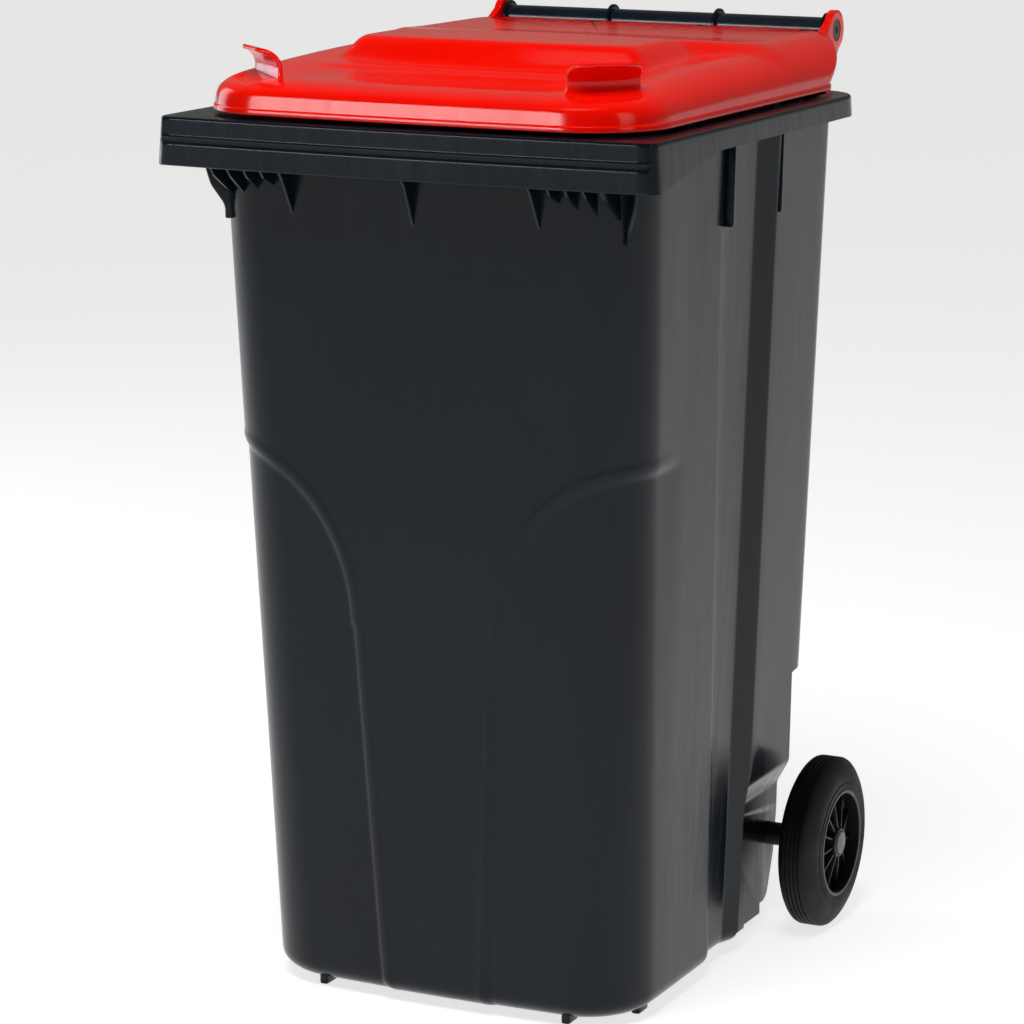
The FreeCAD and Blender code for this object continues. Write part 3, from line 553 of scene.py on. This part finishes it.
def make_bin_shell():
    """The whole body moulding: tub, rim, webs, brackets, axle ribs and feet."""
    details = comb_ribs() + side_ribs() + bar_brackets() + axle_ribs() + feet()
    details += [corner_web(sign) for sign in (-1, 1)]
    gussets = ((144.0, 876.0), (166.0, 905.0), (186.0, 900.0), (206.0, 894.0), (226.0, 889.0))
    details.append(gusset(0.0, 871.0))
    for x, tip_z in gussets:
        details += [gusset(x, tip_z), gusset(-x, tip_z)]
    trim = combine(rim(), details, "UNION")
    cavity = combine(tub_cavity(), recesses(WALL), "DIFFERENCE")
    shell = combine(tub_outside(), recesses(0.0), "DIFFERENCE")
    combine(shell, [trim], "UNION")
    nest_x, nest_y = 70.0, -338.0
    cuts = [cavity,
            round_bar("nest_hole", 11.0, (nest_x, nest_y, 940.0), (nest_x, nest_y, RIM_TOP - RIM_PLATE)),
            round_bar("rim_hole", 3.5, (-280.0, -278.0, 960.0), (-280.0, -278.0, 990.0), 24),
            round_bar("bar_hole", 14.02, (-300.0, HINGE_Y, HINGE_Z), (300.0, HINGE_Y, HINGE_Z), 96),
            round_bar("axle_hole", 10.02, (-300.0, AXLE_Y, AXLE_Z), (300.0, AXLE_Y, AXLE_Z), 64)]
    combine(shell, cuts, "DIFFERENCE")
    shell.name = "bin_shell"
    return shell


# Lid

def lid_height(x, y):
    """Height of the lid's top: a deck that rises to the rear, a dish in front and the dome."""
    x = np.abs(x)
    deck = 1030.5 + 0.02 * y - 1.0e-4 * np.minimum(y, 0.0) ** 2
    dish = smooth(-180.0, -200.0, y) * (1.0 - smooth(110.0, 205.0, x)) * (1.0 - smooth(-215.0, -310.0, y))
    deck = deck - 5.0 * dish
    top = DOME_TOP - 12.5 * smooth(-45.0, 150.0, y) - 2.0 * (x / 160.0) ** 2 * (1.0 - smooth(0.0, 150.0, y))
    front_edge = -147.0 + 27.0 * (x / 160.0) ** 2.5
    flare = smooth(-12.0, 110.0, y)
    past_front = (front_edge - y) / 29.0
    past_side = (x - 159.0 - 62.0 * flare) / (28.0 + 20.0 * flare)
    past = np.log(np.exp(7.0 * past_front) + np.exp(7.0 * past_side)) / 7.0
    wall = np.clip(1.0 - past, 0.0, 1.0)
    wall = wall - 0.075 * np.sin(2.0 * math.pi * wall)
    return deck + np.maximum(top - deck, 0.0) * wall - finger_dip(x, y)


def finger_dip(x, y):
    """Hollow for the fingers in front of each hook."""
    turn = math.radians(HOOK_TURN)
    right, front = x - HOOK_CENTRE[0], HOOK_CENTRE[1] - y
    out = right * math.sin(turn) + front * math.cos(turn)
    across = right * math.cos(turn) - front * math.sin(turn)
    return 6.0 * np.exp(-((out - 14.0) / 9.0) ** 2) * (1.0 - smooth(24.0, 40.0, np.abs(across)))


def notch_pull(x, y, spread=0.0):
    """How far the rear edge is drawn forward at the four notches."""
    pull = np.zeros_like(x)
    for notch_x in NOTCH_X:
        pull = np.maximum(pull, np.clip(1.0 - np.abs(x - notch_x) / (9.0 + spread), 0.0, 1.0))
    return 22.0 * pull * smooth(262.0, 286.0, y)


def lid_loop(side_share, front_share, rear_share, inset=0.0, rear_inset=0.0):
    """Plan loop of the lid's side, each share going from its lower edge (0) to its shoulder (1)."""
    front = (blend(LID_HALF, side_share) - inset, blend(LID_FRONT, front_share) + inset,
             blend(LID_FRONT_RADIUS, side_share) - inset)
    rear = (blend(LID_REAR_HALF, side_share) - inset, blend(LID_REAR, rear_share) - inset - rear_inset,
            blend(LID_REAR_RADIUS, side_share) - inset)
    loop = rounded_loop(both_sides([front, rear]), [34, 14, 14, 34], [110, 190, 110, 110])
    bow = LID_BOW * np.clip(1.0 - (loop[:, 0] / front[0]) ** 2, 0.0, 1.0)
    loop[:, 1] -= np.where(loop[:, 1] < 0.0, bow, 0.0)
    return loop


def lid_side(wall, steps):
    """Rings of the lid's side above the bead; wall is how far inside the outer face they lie."""
    rings = []
    base = LID_EDGE_Z + 7.0
    for share in np.linspace(0.045, 1.0, steps):
        narrowing = 1.0 - math.cos(share * math.pi / 2)
        rise = math.sin(share * math.pi / 2) ** 0.8
        rear_inset = wall * blend((0.6, 1.9), rise)
        past_skirt = float(np.clip((share - 0.3) / 0.7, 0.0, 1.0))
        front = 0.11 * rise + 0.89 * (1.0 - math.cos(past_skirt * math.pi / 2))
        plan = lid_loop(narrowing, front, rise, wall + 1.6 * (1.0 - share), rear_inset)
        plan[:, 1] -= notch_pull(plan[:, 0], plan[:, 1], wall)
        top = lid_height(plan[:, 0], plan[:, 1]) - wall
        rings.append(np.column_stack([plan, base + (top - base) * rise]))
    return rings


def lid_top(edge, wall, steps):
    """Rings of the lid's top from the shoulder ring to a seam along the middle."""
    edge = edge[:, :2]
    whole = lid_loop(1.0, 1.0, 1.0, wall, 1.9 * wall)
    middle = np.column_stack([np.zeros(len(edge)), whole[:, 1] * 0.5])
    rings = []
    for share in np.linspace(0.0, 1.0, steps)[1:]:
        plan = edge + (middle - edge) * share
        rings.append(np.column_stack([plan, lid_height(plan[:, 0], plan[:, 1]) - wall]))
    return rings


def lid_shell():
    """Closed skin of the lid: up the inside, round the bead on the lower edge and over the outside."""
    inside = [in_plan(LID_EDGE_Z)(lid_loop(0.0, 0.0, 0.0, LID_WALL + 0.6))] + lid_side(LID_WALL, 10)
    inside += lid_top(inside[-1], LID_WALL, 30)
    outside = [in_plan(LID_EDGE_Z + rise)(lid_loop(0.0, 0.0, 0.0, inset))
               for rise, inset in ((0.0, 0.6), (0.8, 0.0), (5.0, 0.0), (6.2, 0.5), (7.0, 1.6))]
    outside += lid_side(0.0, 20)
    outside += lid_top(outside[-1], 0.0, 92)
    rings = np.array(inside[::-1] + outside)
    levels, count = rings.shape[:2]
    return mesh_object("lid_shell", rings.reshape(-1, 3), ring_faces(levels, count))


def make_lid_shell():
    shell = lid_shell()
    parts = []
    for sign in (-1, 1):
        parts.append(lid_ear(sign))
        parts.append(hook(sign))
    combine(shell, parts, "UNION")
    holes = []
    for sign in (-1, 1):
        inner, face, outer = sign * 204.0, sign * 213.0, sign * 230.0
        holes.append(round_bar("pin_hole", 8.02, (inner, HINGE_Y, HINGE_Z), (outer, HINGE_Y, HINGE_Z)))
        holes.append(round_bar("pin_seat", 13.02, (face, HINGE_Y, HINGE_Z), (outer, HINGE_Y, HINGE_Z), 64))
    return combine(shell, holes, "DIFFERENCE")


def lid_ear(sign):
    """Plate from the lid's rear corner to the hinge."""
    corners = [(HINGE_Y - 100.0, 990.0, 10.0), (HINGE_Y - 16.0, 982.0, 8.0), (HINGE_Y + 2.0, 1006.0, 20.0),
               (HINGE_Y + 24.0, HINGE_Z, 16.0), (HINGE_Y + 2.0, HINGE_Z + 23.0, 16.0),
               (HINGE_Y - 44.0, 1034.0, 30.0), (HINGE_Y - 100.0, 1026.0, 10.0)]
    low_x, high_x = sign * EAR_X - EAR_HALF_THICKNESS, sign * EAR_X + EAR_HALF_THICKNESS
    web = prism("ear", corners, from_side(low_x), (high_x - low_x, 0, 0), 12)
    eye = round_bar("eye", EYE_RADIUS, (low_x, HINGE_Y, HINGE_Z), (high_x, HINGE_Y, HINGE_Z), 96)
    return softened(combine(web, [eye], "UNION"), 1.2)


def hook(sign):
    """Curled grip on a front corner: a band that rises from a wide foot and bends out to a rounded tip."""
    foot, crest, radius, half_width, tip_radius = 998.0, 1045.0, 21.0, 40.0, 24.0
    rise = [(0.0, z, 0.0) for z in np.linspace(foot, crest - radius, 16)]
    bend = [(radius * (1.0 - math.cos(a)), crest - radius * (1.0 - math.sin(a)), a)
            for a in np.radians(np.linspace(5.0, 94.0, 40))]
    path = np.array(rise + bend)
    steps = np.linalg.norm(np.diff(path[:, :2], axis=0), axis=1)
    left = np.concatenate([np.cumsum(steps[::-1])[::-1], [0.0]])
    rings = []
    for (u, z, angle), to_tip in zip(path, left):
        low = float(np.clip((1026.0 - z) / 22.0, 0.0, 1.0)) if angle == 0.0 else 0.0
        corner = math.sqrt(tip_radius ** 2 - max(0.0, tip_radius - to_tip) ** 2)
        width = half_width - tip_radius + corner + 9.0 * low ** 2.5
        depth = (2.4 + 6.0 * low ** 2.5) * math.sqrt(max(0.05, 1.0 - max(0.0, 1.0 - to_tip / 2.4) ** 2))
        loop = rounded_loop([(width, depth, depth * 0.95), (-width, depth, depth * 0.95),
                             (-width, -depth, depth * 0.95), (width, -depth, depth * 0.95)], 5, 12)
        rings.append(np.column_stack([u - loop[:, 1] * math.cos(angle), loop[:, 0],
                                      z + loop[:, 1] * math.sin(angle)]))
    grip = loft("hook", rings)
    grip.data.transform(Matrix.Translation((-radius / 2.0 * MM, 0, 0)))
    grip.data.transform(Matrix.Rotation(math.radians(HOOK_TURN - 90.0), 4, "Z"))
    grip.data.transform(Matrix.Translation((HOOK_CENTRE[0] * MM, HOOK_CENTRE[1] * MM, 0)))
    return grip if sign > 0 else mirrored(grip)


# Wheels

def lathe(name, profile, centre_x, sign, segments=128):
    """Solid of revolution about the axle from points (x from the wheel's middle, radius)."""
    profile = np.asarray(profile, float)
    turn = np.linspace(0.0, 2.0 * math.pi, segments, endpoint=False)
    rings = [np.column_stack([np.full(len(profile), centre_x) + sign * profile[:, 0],
                              AXLE_Y + profile[:, 1] * math.sin(a), AXLE_Z + profile[:, 1] * math.cos(a)])
             for a in turn]
    points = np.array(rings).reshape(-1, 3)
    count = len(profile)
    faces = []
    for step in range(segments):
        following = (step + 1) % segments
        for index in range(count):
            beside = (index + 1) % count
            faces.append((step * count + index, step * count + beside,
                          following * count + beside, following * count + index))
    return mesh_object(name, points, faces)


def tyre_profile():
    """Round-shouldered tyre with four grooves in the tread and a moulded ring on each side."""
    right = [(24.0, 63.2), (24.6, 66.0), (24.6, 70.0), (23.8, 71.0), (23.8, 73.0), (24.2, 75.0), (22.8, 82.0),
             (20.6, 88.0), (18.2, 92.6), (15.6, 96.4), (13.2, 98.8), (10.6, 99.8)]
    tread = []
    for x in (7.5, 2.5, -2.5, -7.5):
        tread += [(x + 0.9, 99.9), (x + 0.6, 98.2), (x - 0.6, 98.2), (x - 0.9, 99.9)]
    left = [(-x, r) for x, r in reversed(right)]
    return right + tread + left


def make_tyre(name, sign):
    return lathe(name, tyre_profile(), sign * WHEEL_X, sign)


def make_wheel(name, sign):
    """Rim ring, dished web, spokes and hub of one wheel."""
    ring = [(-25.0, 58.5), (24.0, 58.5), (25.0, 59.5), (25.0, 62.0), (24.2, 63.1), (-25.0, 63.1)]
    web = [(-3.0, 10.1), (2.0, 10.1), (3.0, 30.0), (5.0, 48.0), (9.0, 59.0), (3.0, 59.0), (-1.0, 48.0)]
    hub = [(-25.0, 10.1), (16.0, 10.1), (16.0, 13.6), (22.0, 13.6), (23.0, 14.6), (23.0, 16.0), (21.5, 17.2),
           (-25.0, 17.2)]
    centre = sign * WHEEL_X
    wheel = lathe(name, ring, centre, sign)
    parts = [lathe("web", web, centre, sign), lathe("hub", hub, centre, sign, 96)]
    for index in range(SPOKES):
        outline = [(-12.0, 14.0, 0), (20.5, 14.0, 0), (13.0, 59.2, 0), (-12.0, 59.2, 0)]
        loop = rounded_loop(outline)
        side = np.column_stack([centre + sign * loop[:, 0], np.full(len(loop), -1.2), loop[:, 1]])
        spoke = softened(loft("spoke", [side, side + np.array((0, 2.4, 0))]), 0.5)
        turn = Matrix.Rotation(2.0 * math.pi * index / SPOKES, 4, "X")
        spoke.data.transform(Matrix.Translation((0, AXLE_Y * MM, AXLE_Z * MM)) @ turn)
        parts.append(spoke)
    return combine(wheel, parts, "UNION")


def make_cap(name, sign):
    """Slightly domed cap over the hub's mouth."""
    profile = [(20.5, 0.001), (20.5, 13.4), (23.6, 13.4), (24.3, 12.6), (24.6, 10.0), (24.8, 0.001)]
    return lathe(name, profile, sign * WHEEL_X, sign, 96)


# Materials

def node_material(name):
    material = bpy.data.materials.new(name)
    material.use_nodes = True
    nodes = material.node_tree.nodes
    shader = nodes["Principled BSDF"]
    return material, nodes, material.node_tree.links, shader


def noise(nodes, links, coordinates, scale, stretch=(1.0, 1.0, 1.0), detail=4.0, rough=0.55):
    """Noise texture over stretched object coordinates."""
    mapping = nodes.new("ShaderNodeMapping")
    mapping.inputs["Scale"].default_value = stretch
    texture = nodes.new("ShaderNodeTexNoise")
    texture.inputs["Scale"].default_value = scale
    texture.inputs["Detail"].default_value = detail
    texture.inputs["Roughness"].default_value = rough
    links.new(coordinates, mapping.inputs["Vector"])
    links.new(mapping.outputs["Vector"], texture.inputs["Vector"])
    return texture.outputs["Fac"]


def ramp(nodes, links, value, low, high, colours):
    """Colour ramp between two positions of an input value."""
    node = nodes.new("ShaderNodeValToRGB")
    node.color_ramp.elements[0].position = low
    node.color_ramp.elements[1].position = high
    for element, colour in zip(node.color_ramp.elements, colours):
        element.color = (*colour, 1.0)
    links.new(value, node.inputs["Fac"])
    return node.outputs["Color"]


def to_range(nodes, links, value, low, high, out_low, out_high):
    node = nodes.new("ShaderNodeMapRange")
    for label, number in (("From Min", low), ("From Max", high), ("To Min", out_low), ("To Max", out_high)):
        node.inputs[label].default_value = number
    links.new(value, node.inputs["Value"])
    return node.outputs["Result"]


def mixed(nodes, links, factor, first, second, mode="MIX"):
    node = nodes.new("ShaderNodeMix")
    node.data_type = "RGBA"
    node.blend_type = mode
    for value, socket in ((factor, node.inputs[0]), (first, node.inputs[6]), (second, node.inputs[7])):
        if isinstance(value, (float, int)):
            socket.default_value = value
        elif isinstance(value, tuple):
            socket.default_value = (*value, 1.0)
        else:
            links.new(value, socket)
    return node.outputs[2]


def bump(nodes, links, height, strength, distance, under=None):
    node = nodes.new("ShaderNodeBump")
    node.inputs["Strength"].default_value = strength
    node.inputs["Distance"].default_value = distance
    links.new(height, node.inputs["Height"])
    if under is not None:
        links.new(under, node.inputs["Normal"])
    return node.outputs["Normal"]


def moulded_plastic(name, dark, light, roughness, grain=0.06, streaks=0.0, scratches=0.0, specular=0.5):
    """Moulded polyethylene: mottled colour, fine grain, flow streaks and light scratches."""
    material, nodes, links, shader = node_material(name)
    coordinates = nodes.new("ShaderNodeTexCoord").outputs["Object"]
    mottle = noise(nodes, links, coordinates, 6.0, (1.0, 1.0, 0.6))
    colour = ramp(nodes, links, mottle, 0.35, 0.68, (dark, light))
    fine = noise(nodes, links, coordinates, 900.0)
    flow = noise(nodes, links, coordinates, 260.0, (1.0, 1.0, 0.03))
    if streaks:
        dust = to_range(nodes, links, flow, 0.55, 0.75, 0.0, streaks)
        pale = tuple(min(1.0, c * 2.2 + 0.02) for c in light)
        colour = mixed(nodes, links, dust, colour, pale)
    marks = noise(nodes, links, coordinates, 70.0, (1.0, 1.0, 0.12), 8.0, 0.7)
    wear = to_range(nodes, links, marks, 0.35, 0.75, roughness - 0.05, roughness + 0.11)
    links.new(colour, shader.inputs["Base Color"])
    links.new(wear, shader.inputs["Roughness"])
    normal = bump(nodes, links, fine, grain, 0.0006)
    normal = bump(nodes, links, flow, 0.05 + 0.2 * streaks, 0.0004, normal)
    if scratches:
        cuts = noise(nodes, links, coordinates, 420.0, (1.0, 0.5, 0.015), 2.0, 0.4)
        lines = to_range(nodes, links, cuts, 0.72, 0.76, 0.0, 1.0)
        normal = bump(nodes, links, lines, scratches, 0.0003, normal)
    waves = noise(nodes, links, coordinates, 9.0, (1.0, 1.0, 0.5), 1.0)
    normal = bump(nodes, links, waves, 0.12, 0.004, normal)
    links.new(normal, shader.inputs["Normal"])
    shader.inputs["Specular IOR Level"].default_value = specular
    return material


def rubber(name):
    """Black moulded rubber with a dusty, uneven bloom."""
    material, nodes, links, shader = node_material(name)
    coordinates = nodes.new("ShaderNodeTexCoord").outputs["Object"]
    cloud = noise(nodes, links, coordinates, 24.0)
    colour = ramp(nodes, links, cloud, 0.35, 0.75, ((0.0020, 0.0020, 0.0022), (0.0060, 0.0060, 0.0060)))
    fine = noise(nodes, links, coordinates, 700.0)
    links.new(colour, shader.inputs["Base Color"])
    links.new(to_range(nodes, links, cloud, 0.3, 0.7, 0.55, 0.75), shader.inputs["Roughness"])
    links.new(bump(nodes, links, fine, 0.25, 0.0006), shader.inputs["Normal"])
    shader.inputs["Specular IOR Level"].default_value = 0.3
    return material


def metal(name, colour, roughness):
    """Plated or drawn steel with fine marks along its length."""
    material, nodes, links, shader = node_material(name)
    coordinates = nodes.new("ShaderNodeTexCoord").outputs["Object"]
    drawn = noise(nodes, links, coordinates, 500.0, (0.04, 1.0, 1.0))
    spots = noise(nodes, links, coordinates, 60.0)
    tint = tuple(c * 0.75 for c in colour)
    links.new(ramp(nodes, links, spots, 0.35, 0.7, (tint, colour)), shader.inputs["Base Color"])
    wear = to_range(nodes, links, drawn, 0.3, 0.7, roughness - 0.08, roughness + 0.12)
    links.new(wear, shader.inputs["Roughness"])
    links.new(bump(nodes, links, drawn, 0.15, 0.0003), shader.inputs["Normal"])
    shader.inputs["Metallic"].default_value = 1.0
    return material


def make_materials():
    plastics = {
        "body_plastic": dict(dark=(0.0025, 0.0055, 0.0095), light=(0.0038, 0.0080, 0.0130), roughness=0.20,
                             grain=0.08, streaks=0.04, scratches=0.2, specular=0.22),
        "bar_plastic": dict(dark=(0.006, 0.010, 0.016), light=(0.010, 0.015, 0.023), roughness=0.22,
                            grain=0.04),
        "lid_plastic": dict(dark=(0.80, 0.003, 0.0), light=(0.86, 0.005, 0.0), roughness=0.15,
                            grain=0.02, specular=0.3),
        "pin_plastic": dict(dark=(0.022, 0.012, 0.008), light=(0.04, 0.022, 0.014), roughness=0.42),
        "black_plastic": dict(dark=(0.004, 0.004, 0.005), light=(0.008, 0.008, 0.009), roughness=0.4),
        "wheel_plastic": dict(dark=(0.004, 0.0045, 0.005), light=(0.009, 0.0095, 0.010), roughness=0.38),
        "cap_plastic": dict(dark=(0.075, 0.08, 0.075), light=(0.105, 0.11, 0.10), roughness=0.36),
    }
    materials = {name: moulded_plastic(name, **values) for name, values in plastics.items()}
    for name in ("tyre_rubber", "buffer_rubber"):
        materials[name] = rubber(name)
    materials["zinc_steel"] = metal("zinc_steel", (0.52, 0.53, 0.55), 0.34)
    materials["spring_steel"] = metal("spring_steel", (0.42, 0.42, 0.43), 0.28)
    return materials


# Placing the pieces

def add_piece(obj, material_slot, body, nodes):
    finish_surface(obj, MATERIALS[material_slot])
    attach(obj, body)
    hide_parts(*nodes)


def paint_cad_nodes():
    """Gives every CAD node that stays in view the material of its slot."""
    for entry in frame["record"]["subparts"]:
        obj = frame["nodes"][entry["node"]]
        obj.data.materials.clear()
        obj.data.materials.append(MATERIALS[entry["material_slot"]])


# Studio

def add_stage():
    """Plain pale floor of evenly lit paper."""
    material, nodes, links, shader = node_material("stage_paper")
    coordinates = nodes.new("ShaderNodeTexCoord").outputs["Object"]
    paper = noise(nodes, links, coordinates, 40.0)
    tones = ((0.58, 0.58, 0.58), (0.61, 0.61, 0.61))
    links.new(ramp(nodes, links, paper, 0.3, 0.7, tones), shader.inputs["Base Color"])
    shader.inputs["Emission Color"].default_value = (1.0, 1.0, 1.0, 1.0)
    shader.inputs["Emission Strength"].default_value = 0.74
    shader.inputs["Roughness"].default_value = 0.9
    shader.inputs["Specular IOR Level"].default_value = 0.1
    mesh = bpy.data.meshes.new("floor")
    half = 40.0
    corners = [(-half, -half, 0), (half, -half, 0), (half, half, 0), (-half, half, 0)]
    mesh.from_pydata(corners, [], [(0, 1, 2, 3)])
    floor = linked("floor", mesh)
    floor.data.materials.append(material)


def add_light(name, place, aim, size, power, colour=(1.0, 1.0, 1.0)):
    data = bpy.data.lights.new(name, "AREA")
    data.shape = "RECTANGLE"
    data.size, data.size_y = size
    data.energy = power
    data.color = colour
    light = linked(name, data)
    light.visible_camera = False
    light.location = place
    light.rotation_mode = "QUATERNION"
    light.rotation_quaternion = (Vector(aim) - Vector(place)).to_track_quat("-Z", "Y")
    return light


def add_studio_light():
    """Dim world, brighter behind the bin than in front, with four soft boxes round it."""
    world = bpy.data.worlds.new("studio")
    bpy.context.scene.world = world
    world.use_nodes = True
    nodes, links = world.node_tree.nodes, world.node_tree.links
    split = nodes.new("ShaderNodeSeparateXYZ")
    links.new(nodes.new("ShaderNodeTexCoord").outputs["Generated"], split.inputs["Vector"])
    sky = ramp(nodes, links, to_range(nodes, links, split.outputs["Y"], -0.1, 0.6, 0.0, 1.0), 0.0, 1.0,
               ((0.01, 0.012, 0.015), (0.20, 0.19, 0.17)))
    links.new(sky, nodes["Background"].inputs["Color"])
    strip = add_light("front_box", (-1.5, -3.3, 1.55), (0.0, -0.3, 1.0), (2.2, 0.6), 50.0)
    strip.visible_diffuse = False
    add_light("left_box", (-3.4, 0.6, 1.5), (0.0, 0.0, 0.7), (1.4, 2.4), 32.0, (0.86, 0.93, 1.0))
    overhead = add_light("top_box", (0.1, -1.2, 3.3), (0.0, 0.0, 0.9), (1.6, 1.6), 74.0)
    overhead.visible_glossy = False
    add_light("right_box", (3.6, -1.2, 2.2), (0.0, 0.0, 0.7), (1.2, 1.8), 14.0, (1.0, 0.88, 0.72))


def add_camera():
    """Camera at 25.6 degrees round from the front and 12 degrees above the horizon."""
    azimuth, elevation, roll = (math.radians(a) for a in (25.573, 12.001, 0.272))
    target = Vector((-0.0317, -0.0062, 0.5065))
    distance = 4.25
    back = Vector((math.sin(azimuth) * math.cos(elevation), -math.cos(azimuth) * math.cos(elevation),
                   math.sin(elevation)))
    data = bpy.data.cameras.new("camera")
    data.lens = 131.594
    data.sensor_width = 36.0
    camera = linked("camera", data)
    camera.location = target + back * distance
    camera.rotation_mode = "QUATERNION"
    level = (-back).to_track_quat("-Z", "Y")
    camera.rotation_quaternion = level @ Matrix.Rotation(roll, 3, "Z").to_quaternion()
    bpy.context.scene.camera = camera
    bpy.context.scene.view_settings.view_transform = "Standard"


MATERIALS = make_materials()
paint_cad_nodes()
add_piece(make_bin_shell(), "body_plastic", "bin", ["bin_body"])
add_piece(make_lid_shell(), "lid_plastic", "lid", ["lid"])
for side, sign in (("left", -1), ("right", 1)):
    wheel_body = side + "_wheel"
    add_piece(make_tyre("rubber_tyre_" + side, sign), "tyre_rubber", wheel_body, ["tyre_" + side])
    add_piece(make_wheel("spoked_wheel_" + side, sign), "wheel_plastic", wheel_body, ["wheel_rim_" + side])
    add_piece(make_cap("domed_cap_" + side, sign), "cap_plastic", wheel_body, ["hub_cap_" + side])
add_stage()
add_studio_light()
add_camera()
